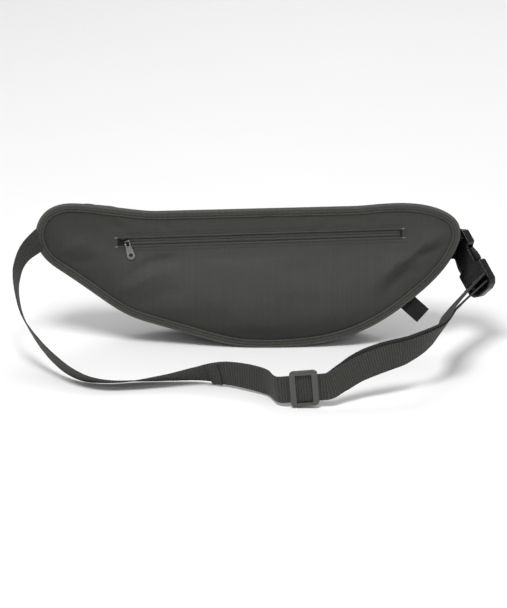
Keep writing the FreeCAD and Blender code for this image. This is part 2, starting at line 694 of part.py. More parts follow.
# Where the buckle's webbing leaves the tip: shares of the half width and height, and millimetres out.
TAB_SEAM = (0.93, 0.75, -9.0)


def web_tab():
    """The short webbing from the right tip's front, folded round the socket's bar."""
    bar, half = DIM["tab_bar"], DIM["buckle_thick"] / 2 + 0.2
    back = -bar - 0.2
    points = [
        (back - LAYER, -half - LAYER), (0.3 + LAYER, -half - LAYER), (0.3 + LAYER, half + LAYER),
        (back - LAYER, half + LAYER), (back - LAYER, -half - LAYER),
    ]
    outer = Part.Face(Part.makePolygon([Vector(x, -WEB / 2, z) for x, z in points])).extrude(Vector(0, WEB, 0))
    room = Part.makeBox(bar + 0.5, WEB + 2, 2 * half, Vector(back, -WEB / 2 - 1, -half))
    wrap = outer.cut(room)
    wrap.Placement = BUCKLE
    seam = PANEL.multVec(Vector(TAB_SEAM[0] * HALF, TAB_SEAM[1] * HIGH, TAB_SEAM[2]))
    root = BUCKLE.multVec(Vector(back - LAYER / 2, 0, 0))
    along = (root - seam).normalize()
    sections = []
    for share, across in ((0.0, Vector(0, 0.17, 0.98)), (0.5, Vector(0.3, -0.15, 0.9)), (1.0, BUCKLE_Y)):
        side = (across - along * across.dot(along)).normalize()
        sections.append((seam + (root - seam) * share, along, side, along.cross(side), 0.0))
    leg = ribbon(sections, lambda s: 0.0, 2 * LAYER, WEB)
    bag = outside.copy()
    bag.Placement = PANEL
    edge = rim_plate(-WALL - 2 * GAP, -2 * CLOTH - GAP, 2 * CLOTH)
    edge.Placement = PANEL
    return one_solid(wrap.fuse(leg).cut(bag).cut(edge).cut(socket.Shape).removeSplitter())


feature("buckle_tab", web_tab())


# The tab leans this much more towards the tip than a square one would.
TAB_TURN_DEG = 13.0


def side_tab():
    """The folded webbing tab sewn in the seam under the right wing."""
    seam_a, seam_b = Vector(0.796 * HALF, 0.364 * HIGH, 0), Vector(0.592 * HALF, 0.157 * HIGH, 0)
    middle = seam_a * 0.78 + seam_b * 0.22
    along = (seam_a - seam_b).normalize()
    angle = math.degrees(math.atan2(along.y, along.x)) + TAB_TURN_DEG
    reach, wide = DIM["tab_reach"], DIM["tab_width"]
    thick = 2 * LAYER
    tab = Part.makeBox(wide, reach + 10, thick, Vector(-wide / 2, -reach, -2 * CLOTH - thick))
    tab.Placement = PANEL.multiply(Placement(middle, Rotation(Vector(0, 0, 1), angle)))
    return one_solid(tab.cut(bag_prism))


feature("side_tab", side_tab())

# ---------- tri-glide ----------

glide_z = GLIDE_DIR.cross(GLIDE_UP).normalize()
glide_y = glide_z.cross(GLIDE_DIR)
GLIDE = Placement(GLIDE_AT, Rotation(GLIDE_DIR, glide_y, glide_z, "XYZ"))
glide = new_body("tri_glide", GLIDE)
GLIDE_HALF = "(web_width/2+glide_play+glide_end)"
frame_corners = (
    ("-glide_length/2", f"-{GLIDE_HALF}"), ("glide_length/2", f"-{GLIDE_HALF}"),
    ("glide_length/2", GLIDE_HALF), ("-glide_length/2", GLIDE_HALF),
)
belt_room = "(2*web_thick+layer_gap+2*glide_clear)"
frame = outline_pad(glide, "frame", frame_corners, belt_room + "+2*glide_bar_thick")
frame = round_edges(glide, "corners", frame, 4.0, lambda p, e: upright(e))
opening = {
    "Length": "glide_length-2*glide_side",
    "Width": "web_width+2*glide_play",
    "Height": "20",
}
opening_place = ("-glide_length/2+glide_side", "-web_width/2-glide_play", "-10")
primitive(glide, "SubtractiveBox", "opening", opening, opening_place)
channel = {"Length": "glide_length+2", "Width": "web_width+2*glide_play", "Height": "20"}
channel_place = ("-glide_length/2-1", "-web_width/2-glide_play", belt_room + "/2-20")
primitive(glide, "SubtractiveBox", "channel", channel, channel_place)
centre = {"Length": "glide_centre", "Width": "web_width+2*glide_play+1", "Height": "glide_bar_thick"}
centre_place = ("-glide_centre/2", "-web_width/2-glide_play-0.5", "-" + belt_room + "/2-glide_bar_thick")
primitive(glide, "AdditiveBox", "centre_bar", centre, centre_place)

# ---------- checks and export ----------

doc.recompute()
doc.removeObject("probe")
doc.recompute()
for obj in doc.Objects:
    if "Invalid" in obj.State or "Error" in obj.State:
        raise RuntimeError(f"{obj.Name} failed: {obj.State}")
os.makedirs("parts", exist_ok=True)
for node in NODES:
    shape = node.Shape
    if shape.isNull() or not shape.isValid() or not shape.Solids:
        raise RuntimeError(f"{node.Label} has no valid shape")
for node in NODES:
    node.Shape.exportStep(f"parts/{node.Label}.step")

length = sum((b[0] - a[0]).Length for a, b in zip(belt, belt[1:]))
doubled = sum((b[0] - a[0]).Length for a, b in zip(belt[hem_at:], belt[hem_at + 1:]))
print(f"{len(NODES)} nodes; belt loop {length:.0f} mm, doubled for {doubled:.0f} mm")
for word, place in (("rear_pivot", rear_pivot), ("main_pivot", main_pivot), ("glide", GLIDE), ("buckle", BUCKLE)):
    axes = [place.Rotation.multVec(v) for v in (Vector(1, 0, 0), Vector(0, 1, 0), Vector(0, 0, 1))]
    print(word, place.Base, axes)
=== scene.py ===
import math

import bmesh
import bpy
from mathutils import Matrix, Vector, geometry, kdtree, noise
from mathutils.bvhtree import BVHTree


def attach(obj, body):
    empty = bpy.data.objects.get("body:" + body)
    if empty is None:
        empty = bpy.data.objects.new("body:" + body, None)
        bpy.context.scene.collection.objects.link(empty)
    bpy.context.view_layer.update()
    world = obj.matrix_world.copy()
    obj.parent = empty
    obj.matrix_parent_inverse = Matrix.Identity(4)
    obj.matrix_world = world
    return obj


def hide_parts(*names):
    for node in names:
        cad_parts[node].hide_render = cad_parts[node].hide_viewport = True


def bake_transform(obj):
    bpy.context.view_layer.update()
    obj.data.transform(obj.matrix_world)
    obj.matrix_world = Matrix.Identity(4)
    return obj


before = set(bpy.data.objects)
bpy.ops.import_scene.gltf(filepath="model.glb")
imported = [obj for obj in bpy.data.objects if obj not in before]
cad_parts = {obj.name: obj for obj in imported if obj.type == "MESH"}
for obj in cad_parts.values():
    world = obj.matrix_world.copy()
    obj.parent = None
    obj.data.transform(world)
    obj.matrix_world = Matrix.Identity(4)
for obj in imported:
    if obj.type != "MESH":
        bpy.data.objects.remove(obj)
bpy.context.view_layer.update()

MM = 0.001

# ---------- the studio ----------
# The pack stands on a plain white table under large soft lights. The camera looks at the side that lies
# against the wearer, a little from above, from far enough away that the lines stay almost parallel.

TARGET = Vector((0.005, -0.030, 0.0445))
ELEVATION = math.radians(20)
FAR = 3.0
FRAME_TALL = 0.578

lens = bpy.data.cameras.new("camera")
lens.sensor_fit = "VERTICAL"
lens.sensor_height = 36
lens.lens = 36 * FAR / FRAME_TALL
lens.clip_start = 0.05
camera = bpy.data.objects.new("camera", lens)
camera.location = TARGET + Vector((0, -math.cos(ELEVATION), math.sin(ELEVATION))) * FAR
camera.rotation_euler = (math.pi / 2 - ELEVATION, 0, 0)
bpy.context.collection.objects.link(camera)
bpy.context.scene.camera = camera


def add(tree, kind, inputs=None, **settings):
    """Adds a node with its settings, and links or sets each of the inputs."""
    made = tree.nodes.new(kind)
    for word, value in settings.items():
        setattr(made, word, value)
    for word, value in (inputs or {}).items():
        if isinstance(value, bpy.types.NodeSocket):
            tree.links.new(value, made.inputs[word])
        else:
            made.inputs[word].default_value = value
    return made


def placed(name, data):
    """An object of its own for a mesh, light or camera, linked to the scene."""
    made = bpy.data.objects.new(name, data)
    bpy.context.collection.objects.link(made)
    return made


def soft_light(name, at, size, watts):
    """A square area light at a place, aimed at the pack."""
    panel = bpy.data.lights.new(name, "AREA")
    panel.size = size
    panel.energy = watts
    lamp = placed(name, panel)
    lamp.location = at
    lamp.rotation_euler = (TARGET - Vector(at)).to_track_quat("-Z", "Y").to_euler()


soft_light("key_light", (-0.3, -1.1, 2.0), 0.7, 36)
soft_light("fill_light", (1.5, -1.7, 0.9), 1.4, 7)
soft_light("rim_light", (0.4, 1.5, 1.6), 1.2, 10)

world = bpy.data.worlds.new("studio")
world.use_nodes = True
world.node_tree.nodes["Background"].inputs["Color"].default_value = (1.0, 1.0, 1.0, 1)
world.node_tree.nodes["Background"].inputs["Strength"].default_value = 0.46
bpy.context.scene.world = world
bpy.context.scene.view_settings.view_transform = "Standard"

table_mesh = bpy.data.meshes.new("table")
WIDE = 6.0
corners = [(-WIDE, -WIDE, 0), (WIDE, -WIDE, 0), (WIDE, WIDE, 0), (-WIDE, WIDE, 0)]
table_mesh.from_pydata(corners, [], [(0, 1, 2, 3)])
table = placed("table", table_mesh)
table_white = bpy.data.materials.new("table_white")
table_white.use_nodes = True
tree = table_white.node_tree
spot = add(tree, "ShaderNodeTexCoord")
grain = add(tree, "ShaderNodeTexNoise", {"Vector": spot.outputs["Object"], "Scale": 3.0})
tone = add(tree, "ShaderNodeValToRGB", {"Fac": grain.outputs["Fac"]})
tone.color_ramp.elements[0].color = (0.90, 0.90, 0.90, 1)
tone.color_ramp.elements[1].color = (0.93, 0.93, 0.93, 1)
tree.links.new(tone.outputs["Color"], tree.nodes["Principled BSDF"].inputs["Base Color"])
tree.nodes["Principled BSDF"].inputs["Roughness"].default_value = 0.9
table.data.materials.append(table_white)

# ---------- back panel ----------
# The panel against the wearer: one piece of charcoal oxford cloth, woven from thick polyester yarn, cut to
# the pack's outline. It is sewn all round under the binding, and slack enough to crease between its seams.

LEAN = math.radians(10)
FOOT_Y = -0.030
CLOTH_THICK = 1.1 * MM
BINDING_WIDE = 7.0 * MM


def on_panel(x, up, out):
    """The point at x along, up the face of and out of the leaning back panel."""
    y = FOOT_Y + up * math.sin(LEAN) - out * math.cos(LEAN)
    return Vector((x, y, up * math.cos(LEAN) + out * math.sin(LEAN)))


def panel_way(x, up, out):
    """A direction given along, up and out of the leaning back panel."""
    return on_panel(x, up, out) - on_panel(0, 0, 0)


def in_panel(point):
    """The x, up and out of a point."""
    y = point.y - FOOT_Y
    up = y * math.sin(LEAN) + point.z * math.cos(LEAN)
    return Vector((point.x, up, point.z * math.sin(LEAN) - y * math.cos(LEAN)))


def evenly(points, step, closed=True):
    """Points a step apart along a line through the given ones."""
    line = list(points) + ([points[0]] if closed else [])
    spans = [(q - p).length for p, q in zip(line, line[1:])]
    count = max(2, round(sum(spans) / step))
    found, index, past = [], 0, 0.0
    for k in range(count if closed else count + 1):
        wanted = sum(spans) * k / count
        while index < len(spans) - 1 and past + spans[index] < wanted:
            past += spans[index]
            index += 1
        share = (wanted - past) / max(spans[index], 1e-9)
        found.append(line[index].lerp(line[index + 1], min(share, 1.0)))
    return found


def panel_outline():
    """The outline of the frame's back panel as a loop of flat points, running clockwise seen from outside."""
    bm = bmesh.new()
    bm.from_mesh(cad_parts["back_panel"].data)
    bmesh.ops.remove_doubles(bm, verts=bm.verts, dist=1e-6)
    face = {f for f in bm.faces if all(abs(in_panel(v.co).z) < 2e-5 for v in f.verts)}
    beside = {}
    for edge in bm.edges:
        if sum(f in face for f in edge.link_faces) == 1:
            for a, b in (edge.verts, reversed(edge.verts)):
                beside.setdefault(a, []).append(b)
    start = min(beside, key=lambda v: v.co.x)
    loop, previous, here = [start], None, start
    while True:
        ahead = [v for v in beside[here] if v is not previous][0]
        if ahead is start:
            break
        loop.append(ahead)
        previous, here = here, ahead
    flat = [in_panel(v.co).to_2d() for v in loop]
    bm.free()
    area = sum(p.x * q.y - q.x * p.y for p, q in zip(flat, flat[1:] + flat[:1]))
    return flat if area < 0 else flat[::-1]


RIM_STEP = 1.6 * MM
RIM = evenly(panel_outline(), RIM_STEP)
rim_tree = kdtree.KDTree(len(RIM))
for index, point in enumerate(RIM):
    rim_tree.insert((point.x, point.y, 0), index)
rim_tree.balance()


def rim_side(index, reach=3):
    """The direction into the panel at a point of its outline."""
    ahead = RIM[(index + reach) % len(RIM)] - RIM[(index - reach) % len(RIM)]
    return Vector((ahead.y, -ahead.x)).normalized()


def smooth(value, low, high):
    """Rises smoothly from 0 at low to 1 at high."""
    share = min(max((value - low) / (high - low), 0.0), 1.0)
    return share * share * (3 - 2 * share)


# The rear zip's window, from where its slider rests, and its length and height.
REAR_AT = Vector((-118.0, 102.06)) * MM
REAR_TURN = math.atan2(8.68, 265.93)
REAR_TRAVEL = 258 * MM
END_ROOM = 7 * MM
WINDOW_TALL = 8 * MM


def along_zip(x, up):
    """A panel point in the rear zip's own directions: along it, and up from its line."""
    dx, dy = x - REAR_AT.x, up - REAR_AT.y
    c, s = math.cos(REAR_TURN), math.sin(REAR_TURN)
    return (dx * c + dy * s, dy * c - dx * s)


def from_zip(along, above):
    """The panel point at a place along the rear zip and above its line."""
    c, s = math.cos(REAR_TURN), math.sin(REAR_TURN)
    return Vector((REAR_AT.x + along * c - above * s, REAR_AT.y + along * s + above * c))


def window_gap(x, up):
    """How far a panel point lies outside the zip's window; below zero inside it."""
    along, above = along_zip(x, up)
    a = max(-END_ROOM - along, along - REAR_TRAVEL - END_ROOM)
    b = abs(above) - WINDOW_TALL / 2
    return max(a, b) if min(a, b) < 0 else math.hypot(a, b)


# Soft creases of the slack cloth: from and to (across and up, mm), half width in mm, and height as a share
# of CREASE_HIGH.
CREASE_HIGH = 3.0 * MM
CREASES = (
    ((-150, 133), (-118, 112), 5.0, -0.9), ((-139, 131), (-104, 114), 5.0, 0.8),
    ((-96, 126), (-70, 110), 4.0, -0.8), ((-86, 127), (-58, 113), 4.5, 0.7),
    ((52, 112), (88, 128), 5.0, 0.9), ((62, 110), (100, 127), 4.5, -0.9), ((94, 128), (122, 113), 5.0, -0.8),
    ((108, 130), (140, 118), 5.0, 0.7), ((-126, 50), (-72, 76), 7.0, 1.3), ((-118, 66), (-66, 86), 6.5, -1.1),
    ((-108, 36), (-60, 58), 8.0, -0.9), ((118, 58), (160, 88), 7.0, 1.3), ((128, 50), (168, 78), 6.0, -1.0),
    ((132, 78), (188, 108), 8.0, 1.4), ((140, 70), (186, 96), 6.0, -1.0), ((-182, 84), (-150, 104), 7.0, 0.9),
    ((-172, 72), (-140, 88), 6.0, -0.8), ((-30, 18), (46, 14), 8.0, 0.9), ((20, 34), (92, 42), 12.0, -0.8),
    ((-60, 30), (-10, 22), 9.0, -0.7), ((-36, 84), (22, 66), 14.0, 0.7), ((34, 80), (84, 58), 13.0, -0.6),
)


def crease_height(x, up):
    """The height of all creases at a point, in metres."""
    total = 0.0
    for (ax, ay), (bx, by), half, height in CREASES:
        run = Vector((bx - ax, by - ay))
        spot = Vector((x / MM - ax, up / MM - ay))
        share = spot.dot(run) / run.length_squared
        bow = 0.08 * run.length * math.sin(math.pi * min(max(share, 0), 1))
        aside = (spot.x * run.y - spot.y * run.x) / run.length + bow
        ends = smooth(share, -0.25, 0.35) * (1 - smooth(share, 0.65, 1.25))
        total += height * CREASE_HIGH * ends * math.exp(-((aside / half) ** 2))
    return total


# How far the cloth may stand out beside the zip, where the pull lies flat on it.
PULL_ROOM = 0.3 * MM


def back_relief(x, up):
    """How far the back panel's cloth stands out of its flat shape."""
    _, nearest, inset = rim_tree.find((x, up, 0))
    run = nearest * 1.6
    inner = inset - BINDING_WIDE
    free = smooth(inner, -1.0 * MM, 16 * MM) * smooth(window_gap(x, up), 1.0 * MM, 14 * MM)
    pucker_size = math.exp(-max(inner, 0) / (6 * MM)) * smooth(inner, -0.5 * MM, 2 * MM)
    pucker = 0.30 * MM * pucker_size * math.sin(run * 0.62 + 3 * noise.noise(Vector((run * 0.04, 0, 5))))
    low = smooth(up, 0.0, 34 * MM) * (1 - smooth(up, 60 * MM, 98 * MM))
    belly = 3.6 * MM * low * (1 - smooth(abs(x), 60 * MM, 165 * MM))
    wander = noise.fractal(Vector((x * 16, up * 22, 3.1)), 0.9, 2.1, 3) * 1.2 * MM
    ripple = noise.noise(Vector((x * 60, up * 75, 9.7))) * 0.36 * MM
    pucker *= smooth(window_gap(x, up), 1 * MM, 6 * MM)
    raised = free * (belly + wander + ripple + crease_height(x, up))
    room = PULL_ROOM + 9 * MM * smooth(window_gap(x, up), 13 * MM, 30 * MM)
    return pucker + (raised if raised < room else room + 0.1 * (raised - room))


def filled(loops, step, outside):
    """Fills the first loop of flat points with even triangles, and drops those that outside() names."""
    points, edges = [], []
    for loop in loops:
        first = len(points)
        points += [Vector((p.x, p.y)) for p in loop]
        edges += [(first + k, first + (k + 1) % len(loop)) for k in range(len(loop))]
    near = kdtree.KDTree(len(points))
    for k, p in enumerate(points):
        near.insert((p.x, p.y, 0), k)
    near.balance()
    low = Vector((min(p.x for p in points), min(p.y for p in points)))
    high = Vector((max(p.x for p in points), max(p.y for p in points)))
    rows = int((high.y - low.y) / (step * 0.866)) + 1
    for row in range(rows):
        for column in range(int((high.x - low.x) / step) + 2):
            p = Vector((low.x + (column + 0.5 * (row % 2)) * step, low.y + row * step * 0.866))
            if near.find((p.x, p.y, 0))[2] > 0.6 * step:
                points.append(p)
    verts, _, faces, _, _, _ = geometry.delaunay_2d_cdt(points, edges, [], 1, 1e-7)
    kept = []
    for face in faces:
        middle = sum((verts[k] for k in face), Vector((0, 0))) / len(face)
        if not outside(middle.x, middle.y):
            kept.append(face)
    return verts, kept


def new_piece(name, verts, faces, uvs=None, smooth_shade=True):
    """A mesh object; uvs gives each vertex's place on the cloth, in metres."""
    mesh = bpy.data.meshes.new(name)
    mesh.from_pydata([tuple(v) for v in verts], [], faces)
    if uvs:
        layer = mesh.uv_layers.new(name="cloth_map")
        for loop in mesh.loops:
            layer.data[loop.index].uv = uvs[loop.vertex_index]
    mesh.validate()
    if smooth_shade:
        mesh.shade_smooth()
    return placed(name, mesh)


def facing_out(piece):
    """Turns all faces of a closed piece outwards."""
    bm = bmesh.new()
    bm.from_mesh(piece.data)
    bmesh.ops.recalc_face_normals(bm, faces=bm.faces)
    bm.to_mesh(piece.data)
    bm.free()
    return piece


def mesh_surface(piece):
    """A piece's surface to lay things on."""
    mesh = piece.data
    return BVHTree.FromPolygons([v.co for v in mesh.vertices], [p.vertices for p in mesh.polygons])


def heading(points, k):
    """The way from the point before to the point after the k-th of an open line."""
    return points[min(k + 1, len(points) - 1)] - points[max(k - 1, 0)]


def finished(piece, **modifiers):
    """Applies modifiers, given as kind={settings}, one after the other."""
    for kind, settings in modifiers.items():
        made = piece.modifiers.new(kind, kind)
        for word, value in settings.items():
            setattr(made, word, value)
        graph = bpy.context.evaluated_depsgraph_get()
        mesh = bpy.data.meshes.new_from_object(
            piece.evaluated_get(graph), preserve_all_data_layers=True, depsgraph=graph
        )
        piece.modifiers.clear()
        old, piece.data = piece.data, mesh
        mesh.name = piece.name
        bpy.data.meshes.remove(old)
    return piece


def rounded_box(half_long, half_tall, radius, count=6):
    """A flat loop: a rectangle with rounded corners about the origin."""
    loop = []
    for corner in range(4):
        sx, sy = ((1, 1), (-1, 1), (-1, -1), (1, -1))[corner]
        for k in range(count + 1):
            turn = math.pi / 2 * (corner + k / count)
            centre = Vector((sx * (half_long - radius), sy * (half_tall - radius)))
            loop.append(centre + Vector((math.cos(turn), math.sin(turn))) * radius)
    return loop


def window_loop(grow, step):
    """The zip window's outline, grown all round, as panel points."""
    half_long = REAR_TRAVEL / 2 + END_ROOM + grow
    loop = rounded_box(half_long, WINDOW_TALL / 2 + grow, 1.2 * MM + max(grow, 0) * 0.5)
    return [from_zip(p.x + REAR_TRAVEL / 2, p.y) for p in evenly(loop, step)]


panel_rim_points = [p + rim_side(k) * 0.3 * MM for k, p in enumerate(RIM)]
flat, triangles = filled(
    [panel_rim_points, window_loop(0, 1.2 * MM)], 1.9 * MM, lambda x, up: window_gap(x, up) < -0.01 * MM
)
back_verts = [on_panel(p.x, p.y, back_relief(p.x, p.y) - 0.02 * MM) for p in flat]
back = new_piece("back_cloth", back_verts, triangles, [(p.x, p.y) for p in flat])
if back.data.polygons[0].normal.y > 0:
    back.data.flip_normals()
back_surface = mesh_surface(back)
finished(back, SOLIDIFY={"thickness": CLOTH_THICK, "offset": -1})


def shader_group(name, inputs, outputs):
    """An empty shader node group with named number and vector sockets, and its two end nodes."""
    group = bpy.data.node_groups.new(name, "ShaderNodeTree")
    for word, start in inputs.items():
        kind = "NodeSocketVector" if start is None else "NodeSocketFloat"
        socket = group.interface.new_socket(word, in_out="INPUT", socket_type=kind)
        if start is not None:
            socket.default_value = start
    for word in outputs:
        group.interface.new_socket(word, in_out="OUTPUT", socket_type="NodeSocketFloat")
    return group, add(group, "NodeGroupInput").outputs, add(group, "NodeGroupOutput")


def sums(tree, operation, *values):
    """The result of a math node."""
    return add(tree, "ShaderNodeMath", dict(enumerate(values)), operation=operation).outputs[0]


def build_weave():
    """Plain weave: warp and weft yarns pass over each other, and each yarn differs a little in tone."""
    given = {"Place": None, "Yarn": 0.0007, "Streaks": 0.5}
    group, inputs, end = shader_group("oxford_weave", given, ("Height", "Tone"))
    place = add(group, "ShaderNodeSeparateXYZ", {0: inputs["Place"]})
    waves = []
    for axis in "XY":
        turn = sums(group, "MULTIPLY", sums(group, "DIVIDE", place.outputs[axis], inputs["Yarn"]), math.pi)
        waves.append(sums(group, "SINE", turn))
    over = sums(group, "GREATER_THAN", sums(group, "MULTIPLY", waves[0], waves[1]), 0.0)
    warp, weft = sums(group, "ABSOLUTE", waves[0]), sums(group, "ABSOLUTE", waves[1])
    height = add(group, "ShaderNodeMix", {0: over, 2: warp, 3: weft}).outputs[0]
    group.links.new(height, end.inputs["Height"])
    tones = []
    for stretch in ((520, 9, 1), (9, 520, 1)):
        spread = add(group, "ShaderNodeMapping", {"Vector": inputs["Place"], "Scale": stretch})
        streak = {"Vector": spread.outputs[0], "Scale": 1.0, "Detail": 3.0}
        tones.append(add(group, "ShaderNodeTexNoise", streak))
    weft_tone = sums(group, "MULTIPLY", tones[1].outputs["Fac"], 0.25)
    share = sums(group, "ADD", tones[0].outputs["Fac"], weft_tone)
    centred = sums(group, "SUBTRACT", share, 0.62)
    slubs = add(group, "ShaderNodeTexNoise", {"Vector": inputs["Place"], "Scale": 1100.0, "Detail": 2.0})
    uneven = sums(group, "SUBTRACT", slubs.outputs["Fac"], 0.5)
    streaks = sums(group, "ADD", sums(group, "MULTIPLY", centred, inputs["Streaks"]), uneven)
    # Painted shade: the tone follows the weave's height, darker in the gaps between the yarns.
    gap_painted_shade = sums(group, "MULTIPLY", sums(group, "SUBTRACT", height, 0.6), 0.35)
    group.links.new(sums(group, "ADD", sums(group, "ADD", streaks, gap_painted_shade), 1.0), end.inputs["Tone"])
    return group


def build_handling():
    """Use and dust: broad patches of tone and sheen, and a few pale specks of lint."""
    given = {"Place": None, "Patch": 22.0, "Strength": 0.15, "Lint": 0.04}
    group, inputs, end = shader_group("handling", given, ("Tone", "Rough", "Lint"))
    patches = {"Vector": inputs["Place"], "Scale": inputs["Patch"], "Detail": 4.0}
    broad = add(group, "ShaderNodeTexNoise", patches)
    middle = sums(group, "SUBTRACT", broad.outputs["Fac"], 0.5)
    swing = sums(group, "MULTIPLY", middle, sums(group, "MULTIPLY", inputs["Strength"], 2.0))
    group.links.new(sums(group, "ADD", swing, 1.0), end.inputs["Tone"])
    group.links.new(sums(group, "MULTIPLY", middle, 0.3), end.inputs["Rough"])
    specks = add(group, "ShaderNodeTexVoronoi", {"Vector": inputs["Place"], "Scale": 260.0}, feature="F1")
    small = sums(group, "LESS_THAN", specks.outputs["Distance"], inputs["Lint"])
    group.links.new(small, end.inputs["Lint"])
    return group


WEAVE = build_weave()
HANDLING = build_handling()


def new_material(name, **sockets):
    """A material with its shader's own sockets set; returns it with its tree and shader."""
    material = bpy.data.materials.new(name)
    material.use_nodes = True
    shader = material.node_tree.nodes["Principled BSDF"]
    for word, value in sockets.items():
        shader.inputs[word.replace("_", " ").title().replace("Ior", "IOR")].default_value = value
    return material, material.node_tree, shader


def coated(piece, material):
    """Gives a piece one material in place of any that it has."""
    piece.data.materials.clear()
    piece.data.materials.append(material)


def toned(tree, colour, *tones):
    """A colour multiplied by tones that change over the surface."""
    shade = tones[0]
    for tone in tones[1:]:
        shade = sums(tree, "MULTIPLY", shade, tone)
    scaled = add(tree, "ShaderNodeVectorMath", {0: colour[:3], "Scale": shade}, operation="SCALE")
    return scaled.outputs[0]


def rubbed(piece, amount):
    """Stores a tone for each point as an attribute: above zero paler, below zero darker. It holds painted
    light and shade on some pieces and plain tone on others.
    """
    layer = piece.data.attributes.new("rubbed", "FLOAT", "POINT")
    layer.data.foreach_set("value", [amount(v.co) for v in piece.data.vertices])


def woven_cloth(name, colour, weave, settings, patch, lint, rough, relief, **sockets):
    """Cloth of one weave: its height and tone, patches of handling and lint, and paler or darker by its
    stored tone, which is painted light and shade on some pieces and plain tone on others.
    """
    material, tree, shader = new_material(name, **sockets)
    where = add(tree, "ShaderNodeUVMap", uv_map="cloth_map").outputs[0]
    woven = add(tree, "ShaderNodeGroup", {"Place": where, **settings}, node_tree=weave)
    use = add(tree, "ShaderNodeGroup", {"Place": where, "Strength": patch}, node_tree=HANDLING)
    pale = add(tree, "ShaderNodeAttribute", attribute_name="rubbed").outputs["Fac"]
    # The stored tone scales the colour: painted light and shade on some pieces, plain tone on others.
    lit_and_toned = sums(tree, "ADD", sums(tree, "MULTIPLY", pale, 0.5), 1.0)
    base = toned(tree, colour, woven.outputs["Tone"], use.outputs["Tone"], lit_and_toned)
    specked = add(tree, "ShaderNodeMix", {0: use.outputs["Lint"], 6: base, 7: lint}, data_type="RGBA")
    tree.links.new(specked.outputs[2], shader.inputs["Base Color"])
    tree.links.new(sums(tree, "ADD", use.outputs["Rough"], rough), shader.inputs["Roughness"])
    strength, depth = relief
    height = {"Height": woven.outputs["Height"], "Strength": strength, "Distance": depth}
    tree.links.new(add(tree, "ShaderNodeBump", height).outputs[0], shader.inputs["Normal"])
    return material


def pack_cloth(name, colour, yarn, streaks, patch):
    """Oxford cloth with uneven yarns."""
    settings, lint, relief = {"Yarn": yarn, "Streaks": streaks}, (0.16, 0.16, 0.15, 1), (0.7, 0.00016)
    look = {"sheen_weight": 0.08, "sheen_roughness": 0.5, "specular_ior_level": 0.3}
    return woven_cloth(name, colour, WEAVE, settings, patch, lint, 0.78, relief, **look)


def back_painted_light(point):
    """Painted light and shade on the back panel: paler in its middle, darker in painted shadow lines at the
    foot of the binding and round the zip window, and darker towards the bottom and towards the left wing.
    """
    place = in_panel(point)
    inset = rim_tree.find((place.x, place.y, 0))[2]
    pale = 0.62 * smooth(inset, 6 * MM, 55 * MM) * (0.3 + 0.7 * smooth(place.y, 10 * MM, 62 * MM))
    # Painted shadow lines at the foot of the binding and round the zip window; painted shade towards the
    # bottom and the left wing.
    seam_painted_shade = 0.9 * math.exp(-abs(inset - BINDING_WIDE) / (0.9 * MM))
    window_painted_shade = 0.6 * math.exp(-abs(window_gap(place.x, place.y)) / (0.8 * MM))
    foot_painted_shade = 0.6 * (1 - smooth(place.y, 4 * MM, 46 * MM))
    wing_painted_shade = 0.3 * (1 - smooth(place.x, -165 * MM, -85 * MM))
    return pale - 0.5 - seam_painted_shade - window_painted_shade - foot_painted_shade - wing_painted_shade


# Painted light and shade on the back panel, stored as its tone.
rubbed(back, back_painted_light)
BACK_CLOTH = pack_cloth("charcoal_oxford", (0.050, 0.050, 0.048), 0.7 * MM, 0.28, 0.08)
back.data.materials.append(BACK_CLOTH)
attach(back, "pack")
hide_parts("back_panel")

# ---------- front panel and gussets ----------
# The bag's body: a domed front panel and a gusset between it and the back, in two parts, the top one with the
# main zip. The same oxford cloth, turned and sewn from inside, filled out by air and sagging onto its foot.

HALF, HIGH = 201 * MM, 140 * MM
DEEP_FOOT, DEEP_TOP, BACK_LEVEL = 60 * MM, 34 * MM, 2 * MM
FRONT_SHRINK, TIP_SHARE = 0.86, 0.1
LID_LEVEL = 0.78 * HIGH
TOP_LEFT, TOP_RIGHT = (-0.438, 0.936), (0.522, 0.971)
GUSSET_ROWS = 9
FLOOR_LIFT = 0.4 * MM


def front_depth(x, up):
    """How far the front panel lies behind the back panel's face."""
    full = TIP_SHARE + (1 - TIP_SHARE) * max(0.0, 1 - abs(x / HALF) ** 2.6)
    return BACK_LEVEL + (DEEP_FOOT + (DEEP_TOP - DEEP_FOOT) * up / HIGH - BACK_LEVEL) * full


def shrunk(deep):
    """The outline's scale at a depth behind the back panel."""
    return 1 - (1 - FRONT_SHRINK) * (deep - BACK_LEVEL) / DEEP_FOOT


def above_floor(point):
    """The point, raised to just over the floor where the bag is flattened by standing on it."""
    return Vector((point.x, point.y, max(point.z, FLOOR_LIFT)))


def top_zip_frame():
    """The main zip's frame on the top gusset: X to the left, Y to the back, Z up off the cloth."""
    left, right = (Vector((x * HALF, up * HIGH, 0)) for x, up in (TOP_LEFT, TOP_RIGHT))
    along = (right - left).normalized()
    middle = (left + right) / 2
    down = Vector((middle.x * (FRONT_SHRINK - 1), middle.y * (FRONT_SHRINK - 1), -DEEP_FOOT))
    normal = along.cross(down).normalized()
    share = (DEEP_TOP - BACK_LEVEL) / 2 / DEEP_FOOT
    centre = middle + down * share + Vector((0, 0, -BACK_LEVEL))
    ahead = -along
    start = centre - ahead * (MAIN_TRAVEL / 2)
    side = normal.cross(ahead)
    origin = on_panel(*start)
    turned = [panel_way(*v) for v in (ahead, side, normal)]
    return Matrix.Translation(origin) @ Matrix(turned).transposed().to_4x4()


